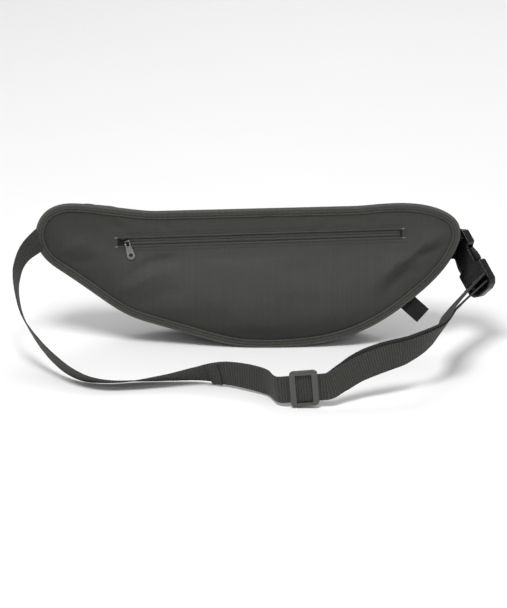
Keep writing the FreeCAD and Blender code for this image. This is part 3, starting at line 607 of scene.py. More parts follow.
MAIN_TRAVEL = 160 * MM
MAIN_ZIP = top_zip_frame()
GUSSET_STEP = 3.4 * MM
seam_points = evenly(RIM, GUSSET_STEP)
bm = bmesh.new()
uv = bm.loops.layers.uv.new("cloth_map")
part = bm.faces.layers.int.new("part")
columns = []
for k, p in enumerate(seam_points):
    deep = DEEP_TOP
    for _ in range(12):
        deep = front_depth(p.x * shrunk(deep), p.y * shrunk(deep))
    column = []
    for row in range(GUSSET_ROWS + 1):
        level = BACK_LEVEL + (deep - BACK_LEVEL) * row / GUSSET_ROWS
        spot = above_floor(on_panel(p.x * shrunk(level), p.y * shrunk(level), -level))
        column.append((bm.verts.new(spot), level))
    columns.append((column, deep, p))
for k in range(len(columns)):
    here, ahead = columns[k][0], columns[(k + 1) % len(columns)][0]
    for row in range(GUSSET_ROWS):
        corners = (here[row], ahead[row], ahead[row + 1], here[row + 1])
        face = bm.faces.new([vertex for vertex, _ in corners])
        for loop, (_, level), shift in zip(face.loops, corners, (0, GUSSET_STEP, GUSSET_STEP, 0)):
            loop[uv].uv = (k * GUSSET_STEP + shift, level)
        face[part] = 1 if columns[k][2].y > LID_LEVEL else 2
front_rim = [Vector((p.x * shrunk(deep), p.y * shrunk(deep))) for _, deep, p in columns]
flat, triangles = filled([front_rim], 4.2 * MM, lambda x, up: False)
front_verts = [bm.verts.new(above_floor(on_panel(p.x, p.y, -front_depth(p.x, p.y)))) for p in flat]
for triangle in triangles:
    face = bm.faces.new([front_verts[k] for k in triangle])
    for loop, k in zip(face.loops, triangle):
        loop[uv].uv = (flat[k].x, flat[k].y)
bmesh.ops.remove_doubles(bm, verts=bm.verts, dist=5e-5)
bmesh.ops.recalc_face_normals(bm, faces=bm.faces)
middle_face = min((f for f in bm.faces if f[part] == 0), key=lambda f: f.calc_center_median().xz.length)
if middle_face.normal.y < 0:
    bmesh.ops.reverse_faces(bm, faces=bm.faces)
shell_mesh = bpy.data.meshes.new("bag_shell")
bm.to_mesh(shell_mesh)
bm.free()
shell = placed("bag_shell", shell_mesh)

held = shell.vertex_groups.new(name="held")
to_zip = MAIN_ZIP.inverted()
back_rim_spots = kdtree.KDTree(len(columns))
front_rim_spots = kdtree.KDTree(len(columns))
for k, (column, deep, p) in enumerate(columns):
    back_rim_spots.insert(on_panel(p.x, p.y, -BACK_LEVEL), k)
    front_rim_spots.insert(above_floor(on_panel(p.x * shrunk(deep), p.y * shrunk(deep), -deep)), k)
back_rim_spots.balance()
front_rim_spots.balance()
for vertex in shell_mesh.vertices:
    local = to_zip @ vertex.co
    weight = 0.0
    if front_rim_spots.find(vertex.co)[2] < 0.5 * MM:
        weight = 0.35
    if vertex.co.z < 1.0 * MM:
        weight = 0.6
    if -12 * MM < local.x < MAIN_TRAVEL + 12 * MM and abs(local.y) < 10 * MM and abs(local.z) < 4 * MM:
        weight = 1.0
    if back_rim_spots.find(vertex.co)[2] < 0.5 * MM:
        weight = 1.0
    if weight:
        held.add([vertex.index], weight, "REPLACE")


def blown(piece, group, pressure, slack, cap, frames=20):
    """Lets the cloth settle under air pressure, held by its group; no point moves further than cap."""
    start = [v.co.copy() for v in piece.data.vertices]
    cloth = piece.modifiers.new("cloth", "CLOTH")
    settings = cloth.settings
    settings.quality = 6
    settings.mass = 0.25
    settings.use_pressure = True
    settings.uniform_pressure_force = pressure
    settings.vertex_group_mass = group
    settings.shrink_min = -slack
    settings.effector_weights.gravity = 0
    settings.bending_stiffness = 0.6
    cloth.collision_settings.use_collision = False
    cloth.point_cache.frame_start = 1
    cloth.point_cache.frame_end = frames
    for number in range(1, frames + 1):
        bpy.context.scene.frame_set(number)
    shown = piece.evaluated_get(bpy.context.evaluated_depsgraph_get())
    moved = [v.co.copy() for v in shown.data.vertices]
    piece.modifiers.clear()
    bpy.context.scene.frame_set(1)
    for vertex, before, after in zip(piece.data.vertices, start, moved):
        shift = after - before
        if shift.length > cap:
            shift *= cap / shift.length
        vertex.co = before + shift


blown(shell, "held", pressure=3.0, slack=0.035, cap=9 * MM)
for vertex in shell_mesh.vertices:
    vertex.co.z = max(vertex.co.z, FLOOR_LIFT)


def part_of_shell(name, number):
    """One sewn panel of the settled shell, smoothed and given the cloth's thickness."""
    bm = bmesh.new()
    bm.from_mesh(shell_mesh)
    layer = bm.faces.layers.int["part"]
    bmesh.ops.delete(bm, geom=[f for f in bm.faces if f[layer] != number], context="FACES")
    mesh = bpy.data.meshes.new(name)
    bm.to_mesh(mesh)
    bm.free()
    mesh.shade_smooth()
    smoothing = {"levels": 1, "render_levels": 1}
    wall = {"thickness": CLOTH_THICK, "offset": -1}
    return finished(placed(name, mesh), SUBSURF=smoothing, SOLIDIFY=wall)


FRONT_CLOTH = pack_cloth("charcoal_oxford_front", (0.050, 0.050, 0.048), 0.7 * MM, 0.5, 0.16)
front = part_of_shell("front_cloth", 0)
lid = part_of_shell("top_gusset_cloth", 1)
foot = part_of_shell("bottom_gusset_cloth", 2)

cutter_loop = rounded_box(MAIN_TRAVEL / 2 + END_ROOM, WINDOW_TALL / 2, 1.2 * MM)
count = len(cutter_loop)
cutter_verts = []
for high in (-6 * MM, 6 * MM):
    cutter_verts += [MAIN_ZIP @ Vector((p.x + MAIN_TRAVEL / 2, p.y, high)) for p in cutter_loop]
cutter_faces = [tuple(range(count))[::-1], tuple(range(count, 2 * count))]
cutter_faces += [(k, (k + 1) % count, count + (k + 1) % count, count + k) for k in range(count)]
cutter = new_piece("window_cutter", cutter_verts, cutter_faces, smooth_shade=False)
finished(lid, BOOLEAN={"object": cutter, "operation": "DIFFERENCE", "solver": "EXACT"})
bpy.data.objects.remove(cutter)

LID_NODES = ("top_gusset", "gusset_end_left", "gusset_end_right")
for piece, nodes in ((front, ("front_panel",)), (lid, LID_NODES), (foot, ("bottom_gusset",))):
    coated(piece, FRONT_CLOTH)
    rubbed(piece, lambda point: 0.35 * noise.noise(point * 14) - 0.1)
    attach(piece, "pack")
    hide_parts(*nodes)

# ---------- pocket lining ----------
# A thin woven lining behind the back zip, sewn into the side seams: it parts the flat back pocket from the
# main compartment.

LINING_DEEP = 14.4 * MM
LINING_TOP = 104 * MM


def lining_loop():
    """The lining's outline: the pack's, well inside it, and level along the top."""
    loop = []
    for k, p in enumerate(RIM[::3]):
        q = p + rim_side(3 * k) * 7 * MM
        deep = front_depth(q.x, q.y)
        reach = 1.0 if deep > LINING_DEEP + 6 * MM else 0.82
        loop.append(Vector((q.x * reach, min(q.y, LINING_TOP))))
    return evenly(loop, 4 * MM)


flat, triangles = filled([lining_loop()], 5 * MM, lambda x, up: False)
lining_verts = []
for p in flat:
    wave = noise.noise(Vector((p.x * 30, p.y * 30, 2.2))) * 0.9 * MM
    lining_verts.append(above_floor(on_panel(p.x, p.y, wave - LINING_DEEP)))
lining = new_piece("pocket_lining_cloth", lining_verts, triangles, [(p.x, p.y) for p in flat])
finished(lining, SOLIDIFY={"thickness": 0.4 * MM, "offset": 0})
lining.data.materials.append(pack_cloth("grey_taffeta", (0.045, 0.045, 0.045), 0.3 * MM, 0.3, 0.1))
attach(lining, "pack")
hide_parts("pocket_lining")

# ---------- edge binding ----------
# Ribbed grosgrain tape folded over the raw edge of the back seam, all round the pack, and sewn down with two
# rows of stitches. It is laid by hand, so its width and its roll over the edge wander a little.


def swept(name, places, profile, closed=False, ends=True):
    """A closed skin: a profile of (aside, lift) carried along places of (middle, side, lift, run, profile).

    A place whose own profile is None takes the shared one.
    """
    verts, uvs, faces = [], [], []
    size = len(profile)
    for middle, side, lift, run, shape in places:
        for a, b in shape or profile:
            verts.append(middle + side * a + lift * b)
            uvs.append((run, a))
    rows = len(places)
    for r in range(rows if closed else rows - 1):
        first, second = r * size, (r + 1) % rows * size
        for c in range(size):
            d = (c + 1) % size
            faces.append((first + c, first + d, second + d, second + c))
    if ends and not closed:
        faces.append(tuple(range(size))[::-1])
        faces.append(tuple(range((rows - 1) * size, rows * size)))
    return facing_out(new_piece(name, verts, faces, uvs))


TAPE_LAP = (90 * MM, 105 * MM)


def binding_shape(run, x, up):
    """The tape's section at a place along it: over the panel, round the edge and down behind it."""
    wide = BINDING_WIDE / MM + 0.35 * noise.noise(Vector((run * 40, 0, 1.7)))
    roll = 0.22 * noise.noise(Vector((run * 90, 4.0, 0))) + 0.12 * math.sin(run / MM * 0.9)
    extra = 0.0
    if up < 40 * MM and TAPE_LAP[0] < x < TAPE_LAP[1]:
        extra = 0.7
    outer = 0.75 + extra * 0.8
    shape = (
        (wide, 0.05), (wide + 0.1, 0.5 + extra), (wide - 0.5, 0.92 + extra),
        (wide - 1.3, 1.0 + extra + roll * 0.3),
        (wide - 1.9, 0.86 + extra), (wide - 3.2, 1.22 + extra + roll), (3.4, 1.30 + extra + roll),
        (2.4, 1.12 + extra + roll * 0.5), (1.2, 1.25 + extra), (0.1, 0.85 + extra), (-outer * 0.75, 0.1),
        (-outer, -1.2), (-outer * 0.95, -2.6), (-0.45, -3.8), (-0.12, -3.9), (-0.1, -0.1), (0.2, 0.04),
    )
    return [(a * MM, b * MM) for a, b in shape]


binding_places = []
OUT = panel_way(0, 0, 1)
for k, p in enumerate(RIM):
    side = rim_side(k, 4)
    side_world = panel_way(side.x, side.y, 0)
    run = k * RIM_STEP
    binding_places.append((on_panel(p.x, p.y, 0), side_world, OUT, run, binding_shape(run, p.x, p.y)))
binding = swept("grosgrain_binding", binding_places, binding_places[0][4], closed=True)
for vertex in binding.data.vertices:
    vertex.co.z = max(vertex.co.z, 0.3 * MM)

# Painted light and shade across the tape, one value for each point of its section: a painted highlight on its
# ridges, painted shade in its stitched furrows and at its foot.
TAPE_PAINTED_LIGHT = (-1.4, -0.7, 0.2, -0.1, -1.3, -0.1, 0.1, -0.8, 0.3, 0.5, 0.2, 0.0, -0.2, -0.6, -0.6, 0, 0)
tape_painted_light_steps = iter(TAPE_PAINTED_LIGHT * len(RIM))
rubbed(binding, lambda point: next(tape_painted_light_steps))


def build_ribs():
    """Ribbed tape or webbing: ribs across it, slightly slanted threads in each, and uneven yarns."""
    given = {"Place": None, "Rib": 0.001, "Thread": 0.0006, "Slant": 0.0}
    group, inputs, end = shader_group("woven_ribs", given, ("Height", "Tone"))
    place = add(group, "ShaderNodeSeparateXYZ", {0: inputs["Place"]})
    across = sums(group, "PINGPONG", place.outputs["Y"], 0.0031)
    along = sums(group, "ADD", place.outputs["X"], sums(group, "MULTIPLY", across, inputs["Slant"]))
    ribs_past = sums(group, "DIVIDE", along, inputs["Rib"])
    rib = sums(group, "SINE", sums(group, "MULTIPLY", ribs_past, 2 * math.pi))
    swell = sums(group, "ADD", sums(group, "MULTIPLY", rib, 0.5), 0.5)
    turn = sums(group, "MULTIPLY", sums(group, "DIVIDE", place.outputs["Y"], inputs["Thread"]), 2 * math.pi)
    threads = sums(group, "MULTIPLY", sums(group, "SINE", turn), 0.22)
    height = sums(group, "ADD", swell, sums(group, "MULTIPLY", threads, swell))
    group.links.new(height, end.inputs["Height"])
    spread = add(group, "ShaderNodeMapping", {"Vector": inputs["Place"], "Scale": (300, 1400, 1)})
    fleck = add(group, "ShaderNodeTexNoise", {"Vector": spread.outputs[0], "Scale": 1.0, "Detail": 2.0})
    flecks = sums(group, "MULTIPLY", sums(group, "SUBTRACT", fleck.outputs["Fac"], 0.5), 0.9)
    # Painted shade: the tone follows the ribs' height, darker between the ribs.
    shade = sums(group, "ADD", sums(group, "MULTIPLY", swell, 0.8), 0.6)
    group.links.new(sums(group, "ADD", shade, flecks), end.inputs["Tone"])
    return group


RIBS = build_ribs()


def ribbed_cloth(name, colour, rib, thread, slant, depth, patch):
    """Ribbed tape or webbing of one colour, with its ribs as bump and tone."""
    settings, lint = {"Rib": rib, "Thread": thread, "Slant": slant}, (0.15, 0.15, 0.14, 1)
    look = {"sheen_weight": 0.06, "sheen_roughness": 0.45, "specular_ior_level": 0.32}
    return woven_cloth(name, colour, RIBS, settings, patch, lint, 0.72, (0.85, depth), **look)


BINDING_TAPE = ribbed_cloth("olive_grosgrain", (0.062, 0.062, 0.055), 1.15 * MM, 0.9 * MM, 0.0, 0.0004, 0.14)
binding.data.materials.append(BINDING_TAPE)
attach(binding, "pack")
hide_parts("edge_binding")

# ---------- stitches ----------
# Lockstitch in black bonded thread, about 3 mm a stitch: two rows on the binding, two boxes round the back
# zip, rows beside the front and gusset seams, and dense bar tacks at the zip's ends. Each dips at its ends.


def build_laid_row():
    """A tree that lays copies of an element along a path, lifted by the path's own directions."""
    tree = bpy.data.node_groups.new("laid_row", "GeometryNodeTree")
    sockets = {
        "Path": "Geometry", "Element": "Object", "Pitch": "Float", "Wander": "Float", "Seed": "Int",
        "Finish": "Material",
    }
    for word, kind in sockets.items():
        tree.interface.new_socket(word, in_out="INPUT", socket_type="NodeSocket" + kind)
    tree.interface.new_socket("Row", in_out="OUTPUT", socket_type="NodeSocketGeometry")
    given = add(tree, "NodeGroupInput").outputs
    line = add(tree, "GeometryNodeMeshToCurve", {0: given["Path"]})
    pitch = {"Curve": line.outputs[0], "Length": given["Pitch"]}
    spaced = add(tree, "GeometryNodeResampleCurve", pitch, mode="LENGTH")
    lift = add(tree, "GeometryNodeInputNamedAttribute", {"Name": "lift"}, data_type="FLOAT_VECTOR")
    tangent = add(tree, "GeometryNodeInputTangent")
    up = add(tree, "FunctionNodeAlignRotationToVector", {"Vector": lift.outputs[0]}, axis="Z")
    ahead = {"Rotation": up.outputs[0], "Vector": tangent.outputs[0]}
    turned = add(tree, "FunctionNodeAlignRotationToVector", ahead, axis="X", pivot_axis="Z")
    most = sums(tree, "MULTIPLY", given["Wander"], -1.0)
    spread = {2: most, 3: given["Wander"], 8: given["Seed"]}
    sway = add(tree, "FunctionNodeRandomValue", spread, data_type="FLOAT")
    tilt = add(tree, "FunctionNodeEulerToRotation")
    angles = add(tree, "ShaderNodeCombineXYZ", {"Z": sway.outputs[1]})
    tree.links.new(angles.outputs[0], tilt.inputs[0])
    turns = {0: turned.outputs[0], 1: tilt.outputs[0]}
    spin = add(tree, "FunctionNodeRotateRotation", turns, rotation_space="LOCAL")
    shape = add(tree, "GeometryNodeObjectInfo", {"Object": given["Element"]})
    copies = {"Points": spaced.outputs[0], "Instance": shape.outputs["Geometry"], "Rotation": spin.outputs[0]}
    laid = add(tree, "GeometryNodeInstanceOnPoints", copies)
    real = add(tree, "GeometryNodeRealizeInstances", {0: laid.outputs[0]})
    dressed = add(tree, "GeometryNodeSetMaterial", {"Geometry": real.outputs[0], "Material": given["Finish"]})
    add(tree, "NodeGroupOutput", {0: dressed.outputs[0]})
    return tree


LAID_ROW = build_laid_row()


def laid_row(name, rows, element, pitch, finish, wander=0.0, seed=1):
    """Copies of an element along each row of (point, lift), as one plain mesh."""
    verts, edges, lifts = [], [], []
    for row in rows:
        first = len(verts)
        verts += [tuple(p) for p, _ in row]
        lifts += [tuple(n) for _, n in row]
        edges += [(first + k, first + k + 1) for k in range(len(row) - 1)]
    mesh = bpy.data.meshes.new(name + "_path")
    mesh.from_pydata(verts, edges, [])
    layer = mesh.attributes.new("lift", "FLOAT_VECTOR", "POINT")
    layer.data.foreach_set("vector", [c for lift in lifts for c in lift])
    path = placed(name + "_path", mesh)
    modifier = path.modifiers.new("row", "NODES")
    modifier.node_group = LAID_ROW
    values = {"Element": element, "Pitch": pitch, "Wander": wander, "Seed": seed, "Finish": finish}
    for item in LAID_ROW.interface.items_tree:
        if item.in_out == "INPUT" and item.name in values:
            modifier[item.identifier] = values[item.name]
    shown = path.evaluated_get(bpy.context.evaluated_depsgraph_get())
    plain = bpy.data.meshes.new_from_object(shown)
    plain.name = name
    plain.shade_smooth()
    bpy.data.objects.remove(path)
    return placed(name, plain)


RING_SIDES = 6


def ringed(name, verts):
    """A closed skin over rings of points, given one ring after the other."""
    faces, last = [], len(verts) - RING_SIDES
    for ring in range(0, last, RING_SIDES):
        for k in range(RING_SIDES):
            a, b = ring + k, ring + (k + 1) % RING_SIDES
            faces.append((a, b, b + RING_SIDES, a + RING_SIDES))
    faces += [tuple(range(RING_SIDES))[::-1], tuple(range(last, len(verts)))]
    return facing_out(new_piece(name, verts, faces))


def stitch_element(name, long, thick):
    """One stitch: a short thread, thickest in its middle, whose ends dip into the cloth."""
    verts = []
    near_half = ((-0.5, 0.35, -0.9), (-0.36, 0.9, -0.1), (-0.12, 1, 0.25))
    far_half = [(-x, size, dip) for x, size, dip in near_half[::-1]]
    for x, size, dip in (*near_half, *far_half):
        for k in range(RING_SIDES):
            turn = 2 * math.pi * k / RING_SIDES
            y = math.cos(turn) * thick / 2 * size
            verts.append((x * long, y, math.sin(turn) * thick / 2 * size + dip * thick / 2))
    return ringed(name, verts)


def resting(surface, points, lift):
    """The points brought onto a surface and lifted off it, each with the surface's direction."""
    row = []
    for point in points:
        place, normal, _, _ = surface.find_nearest(point)
        row.append((place + normal * lift, normal))
    return row


def sewing_thread(name, colour):
    """Twisted thread: fine slanting plies along Object coordinates, dull where it is rubbed."""
    material, tree, shader = new_material(name, sheen_weight=0.3, specular_ior_level=0.4)
    where = add(tree, "ShaderNodeTexCoord").outputs["Object"]
    ply = add(tree, "ShaderNodeTexNoise", {"Vector": where, "Scale": 2600.0, "Detail": 2.0})
    rub = add(tree, "ShaderNodeTexNoise", {"Vector": where, "Scale": 60.0, "Detail": 3.0})
    tone = sums(tree, "ADD", sums(tree, "MULTIPLY", ply.outputs["Fac"], 0.5), rub.outputs["Fac"])
    tree.links.new(toned(tree, colour, sums(tree, "ADD", tone, 0.25)), shader.inputs["Base Color"])
    level = sums(tree, "ADD", sums(tree, "MULTIPLY", rub.outputs["Fac"], 0.3), 0.5)
    tree.links.new(level, shader.inputs["Roughness"])
    bump = add(tree, "ShaderNodeBump", {"Height": ply.outputs["Fac"], "Strength": 0.5, "Distance": 0.00008})
    tree.links.new(bump.outputs[0], shader.inputs["Normal"])
    return material


THREAD = sewing_thread("charcoal_thread", (0.013, 0.013, 0.012))
PALE_THREAD = sewing_thread("rubbed_thread", (0.30, 0.30, 0.28))
stitch = stitch_element("stitch", 2.5 * MM, 0.5 * MM)
tack = stitch_element("tack", 1.5 * MM, 0.5 * MM)
FRONT_SEAM_IN = 3.2 * MM
binding_surface = mesh_surface(binding)
front_surface = mesh_surface(front)
lid_surface = mesh_surface(lid)


def inset_points(inset, out):
    """Points along the panel's outline, moved in by an inset and out of the panel."""
    return [on_panel(*(p + rim_side(k, 4) * inset), out) for k, p in enumerate(RIM)]


binding_rows = []
for inset in (BINDING_WIDE - 1.9 * MM, 2.4 * MM):
    row = resting(binding_surface, inset_points(inset, 3 * MM), 0.08 * MM)
    binding_rows.append(row + row[:1])
binding_stitches = laid_row("binding_stitches", binding_rows, stitch, 3.1 * MM, THREAD, 0.06, 3)

zip_box = [on_panel(p.x, p.y, 3 * MM) for p in window_loop(4.4 * MM, 2 * MM)]
zip_near = [on_panel(p.x, p.y, 3 * MM) for p in window_loop(1.5 * MM, 2 * MM)]
zip_rows = []
for loop in (zip_box, zip_near):
    row = resting(back_surface, loop, 0.10 * MM)
    zip_rows.append(row + row[:1])
zip_stitches = laid_row("window_stitches", zip_rows, stitch, 3.0 * MM, THREAD, 0.05, 5)

centre = Vector((0, 0.45 * HIGH))
line = []
for p in evenly(front_rim, 2.5 * MM):
    q = p + (centre - p).normalized() * FRONT_SEAM_IN
    line.append(above_floor(on_panel(q.x, q.y, -front_depth(q.x, q.y) - 8 * MM)))
row = resting(front_surface, line, 0.10 * MM)
seam_rows = [row + row[:1]]
for seam_x in (TOP_LEFT[0] * HALF - 1.5 * MM, TOP_RIGHT[0] * HALF + 1.5 * MM):
    top = max(p.y for p in RIM if abs(p.x - seam_x) < 2 * MM)
    deep = front_depth(seam_x, top)
    line = []
    for k in range(12):
        level = BACK_LEVEL + 1 * MM + (deep - BACK_LEVEL - 2 * MM) * k / 11
        line.append(on_panel(seam_x * shrunk(level), top * shrunk(level) + 9 * MM, -level))
    seam_rows.append(resting(lid_surface, line, 0.10 * MM))
seam_stitches = laid_row("front_seam_stitches", seam_rows, stitch, 3.0 * MM, THREAD, 0.05, 7)

tack_rows = []
for along in (-END_ROOM - 0.4 * MM, REAR_TRAVEL + END_ROOM + 0.4 * MM):
    for above in (-4.4 * MM, 4.4 * MM):
        ends = [from_zip(along + shift, above) for shift in (-0.9 * MM, 0, 0.9 * MM)]
        tack_rows.append(resting(back_surface, [on_panel(p.x, p.y, 3 * MM) for p in ends], 0.15 * MM))
tacks = laid_row("window_tacks", tack_rows, tack, 0.6 * MM, PALE_THREAD, 0.4, 9)
stitched = (
    (binding_stitches, "binding_tape"), (zip_stitches, "pack_cloth"),
    (seam_stitches, "pack_cloth"), (tacks, "pack_cloth"),
)
for piece, slot in stitched:
    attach(piece, "pack")

# ---------- zips ----------
# Two nylon coil zips: knitted tapes, a spiral coil sewn under the edge of each, a die-cast slider with a
# bail, and a flat stamped pull with a hole. The back one shows the smooth side of its tapes in its window.

COIL_DEEP = 2.38 * MM
TAPE_SHAPE = (
    (0.15, -1.50), (0.25, -1.32), (2.4, -1.34), (3.1, -1.95), (10.5, -2.0), (10.6, -2.3), (10.3, -2.42),
    (3.0, -2.4), (2.3, -1.75), (0.25, -1.72),
)
REAR_ZIP = Matrix.Translation(on_panel(REAR_AT.x, REAR_AT.y, 0)) @ Matrix([
    panel_way(math.cos(REAR_TURN), math.sin(REAR_TURN), 0),
    panel_way(-math.sin(REAR_TURN), math.cos(REAR_TURN), 0),
    OUT,
]).transposed().to_4x4()


def directions(place):
    """The three directions of a frame."""
    return [place.to_3x3().col[k].copy() for k in range(3)]


def tooth_element(name):
    """One turn of the coil seen from outside: a bar across the chain with a swollen head."""
    verts = []
    rings = (
        (2.5, 0.25, 0.4), (2.2, 0.33, 0.62), (0.9, 0.30, 0.60),
        (0.35, 0.42, 0.66), (-0.05, 0.40, 0.62), (-0.25, 0.22, 0.40),
    )
    for y, wide, tall in rings:
        for k in range(RING_SIDES):
            turn = 2 * math.pi * (k + 0.5) / RING_SIDES
            level = math.sin(turn) * tall * MM - COIL_DEEP
            verts.append((math.cos(turn) * wide * MM, y * MM, level))
    return ringed(name, verts)


def moulded(name, colour, rough, coat, grain, edge):
    """Moulded plastic: fine texture, faint flow marks, handling marks and rubbed edges."""
    look = {"coat_weight": coat, "coat_roughness": 0.18, "specular_ior_level": 0.32}
    material, tree, shader = new_material(name, **look)
    where = add(tree, "ShaderNodeTexCoord").outputs["Object"]
    handled = {"Place": where, "Patch": 90.0, "Strength": 0.18}
    use = add(tree, "ShaderNodeGroup", handled, node_tree=HANDLING)
    skin = add(tree, "ShaderNodeTexNoise", {"Vector": where, "Scale": grain, "Detail": 5.0})
    drawn = {"Vector": where, "Rotation": (0.4, 0.2, 0.7), "Scale": (180, 2600, 900)}
    drawn = add(tree, "ShaderNodeMapping", drawn).outputs[0]
    scratch = add(tree, "ShaderNodeTexNoise", {"Vector": drawn, "Scale": 1.0, "Detail": 1.0})
    lines = sums(tree, "MULTIPLY", sums(tree, "GREATER_THAN", scratch.outputs["Fac"], 0.70), 0.22)
    edges = add(tree, "ShaderNodeNewGeometry").outputs["Pointiness"]
    wear = add(tree, "ShaderNodeMapRange", {"Value": edges, "From Min": 0.52, "From Max": 0.62})
    tone = sums(tree, "ADD", use.outputs["Tone"], lines)
    tone = sums(tree, "ADD", tone, sums(tree, "MULTIPLY", wear.outputs[0], edge))
    tree.links.new(toned(tree, colour, tone), shader.inputs["Base Color"])
    level = sums(tree, "ADD", sums(tree, "MULTIPLY", skin.outputs["Fac"], 0.14), rough - 0.07)
    tree.links.new(sums(tree, "ADD", level, use.outputs["Rough"]), shader.inputs["Roughness"])
    bump = add(tree, "ShaderNodeBump", {"Height": skin.outputs["Fac"], "Strength": 0.35, "Distance": 0.00006})
    tree.links.new(bump.outputs[0], shader.inputs["Normal"])
    return material


def cast_metal(name, colour, rough, brush):
    """Plated metal: fine brushing along the piece, dulled patches, and bright rubbed edges."""
    material, tree, shader = new_material(name, metallic=1.0, specular_ior_level=0.5)
    where = add(tree, "ShaderNodeTexCoord").outputs["Object"]
    spread = add(tree, "ShaderNodeMapping", {"Vector": where, "Scale": (2200, 2200, 260)})
    brushed = add(tree, "ShaderNodeTexNoise", {"Vector": spread.outputs[0], "Scale": 1.0, "Detail": 3.0})
    dull = add(tree, "ShaderNodeTexNoise", {"Vector": where, "Scale": 220.0, "Detail": 4.0})
    edges = add(tree, "ShaderNodeNewGeometry").outputs["Pointiness"]
    span = {"Value": edges, "From Min": 0.52, "From Max": 0.60, "To Max": 0.6}
    wear = add(tree, "ShaderNodeMapRange", span)
    tone = sums(tree, "ADD", sums(tree, "MULTIPLY", dull.outputs["Fac"], 0.6), 0.7)
    tone = sums(tree, "ADD", tone, wear.outputs[0])
    tree.links.new(toned(tree, colour, tone), shader.inputs["Base Color"])
    level = sums(tree, "ADD", sums(tree, "MULTIPLY", dull.outputs["Fac"], 0.25), rough - 0.1)
    tree.links.new(level, shader.inputs["Roughness"])
    height = {"Height": brushed.outputs["Fac"], "Strength": brush, "Distance": 0.00005}
    bump = add(tree, "ShaderNodeBump", height)
    tree.links.new(bump.outputs[0], shader.inputs["Normal"])
    return material


def inside_loop(loop, x, y):
    """True if the flat point lies inside the loop."""
    crossings = 0
    for p, q in zip(loop, loop[1:] + loop[:1]):
        if (p.y > y) != (q.y > y) and x < p.x + (q.x - p.x) * (y - p.y) / (q.y - p.y):
            crossings += 1
    return crossings % 2 == 1


def plate(name, place, loops, low, high, bevel, step):
    """A flat plate with softened edges: the first loop of flat points is its outline, the rest are holes."""
    flat, triangles = filled(loops, step, lambda x, y: any(inside_loop(loop, x, y) for loop in loops[1:]))
    count = len(flat)
    verts = [Vector((p.x, p.y, low)) for p in flat] + [Vector((p.x, p.y, high)) for p in flat]
    faces = [tuple(t)[::-1] for t in triangles] + [tuple(k + count for k in t) for t in triangles]
    sides = dict.fromkeys(side for t in triangles for side in zip(t, t[1:] + t[:1]))
    faces += [(a, b, b + count, a + count) for a, b in sides if (b, a) not in sides]
    piece = facing_out(new_piece(name, verts, faces))
    finished(piece, BEVEL={"width": bevel, "segments": 2, "limit_method": "ANGLE"})
    piece.data.transform(place)
    return piece


ZIP_TAPE = ribbed_cloth("knitted_tape", (0.048, 0.048, 0.045), 0.7 * MM, 0.45 * MM, 0.6, 0.00012, 0.10)
ZIP_COIL = moulded("nylon_coil", (0.050, 0.050, 0.047), 0.5, 0.1, 1500.0, 0.3)
SLIDER_METAL = cast_metal("black_plated_metal", (0.022, 0.022, 0.022), 0.30, 0.3)
PULL_METAL = cast_metal("satin_nickel", (0.25, 0.25, 0.235), 0.34, 0.6)
tooth = tooth_element("tooth")
SLIDER_LONG, SLIDER_WIDE = 8.5 * MM, 6.6 * MM
PIN_UP = 1.6 * MM
PULL_WIDE, PULL_NARROW, PULL_LONG = 7.4 * MM, 5 * MM, 17 * MM
# The bail's arch over the slider's top, and the section of its bar, both in mm.
BAIL_ARCH = (
    (-2.7, 0.0), (-2.6, 0.9), (-1.9, 1.9), (-0.6, 2.6), (0.8, 2.75), (1.7, 2.3), (2.0, 1.2), (2.1, 0.0),
)
BAIL_SECTION = (
    (-0.8, -0.25), (-0.65, -0.38), (0.65, -0.38), (0.8, -0.25),
    (0.8, 0.25), (0.6, 0.42), (-0.6, 0.42), (-0.8, 0.25),
)


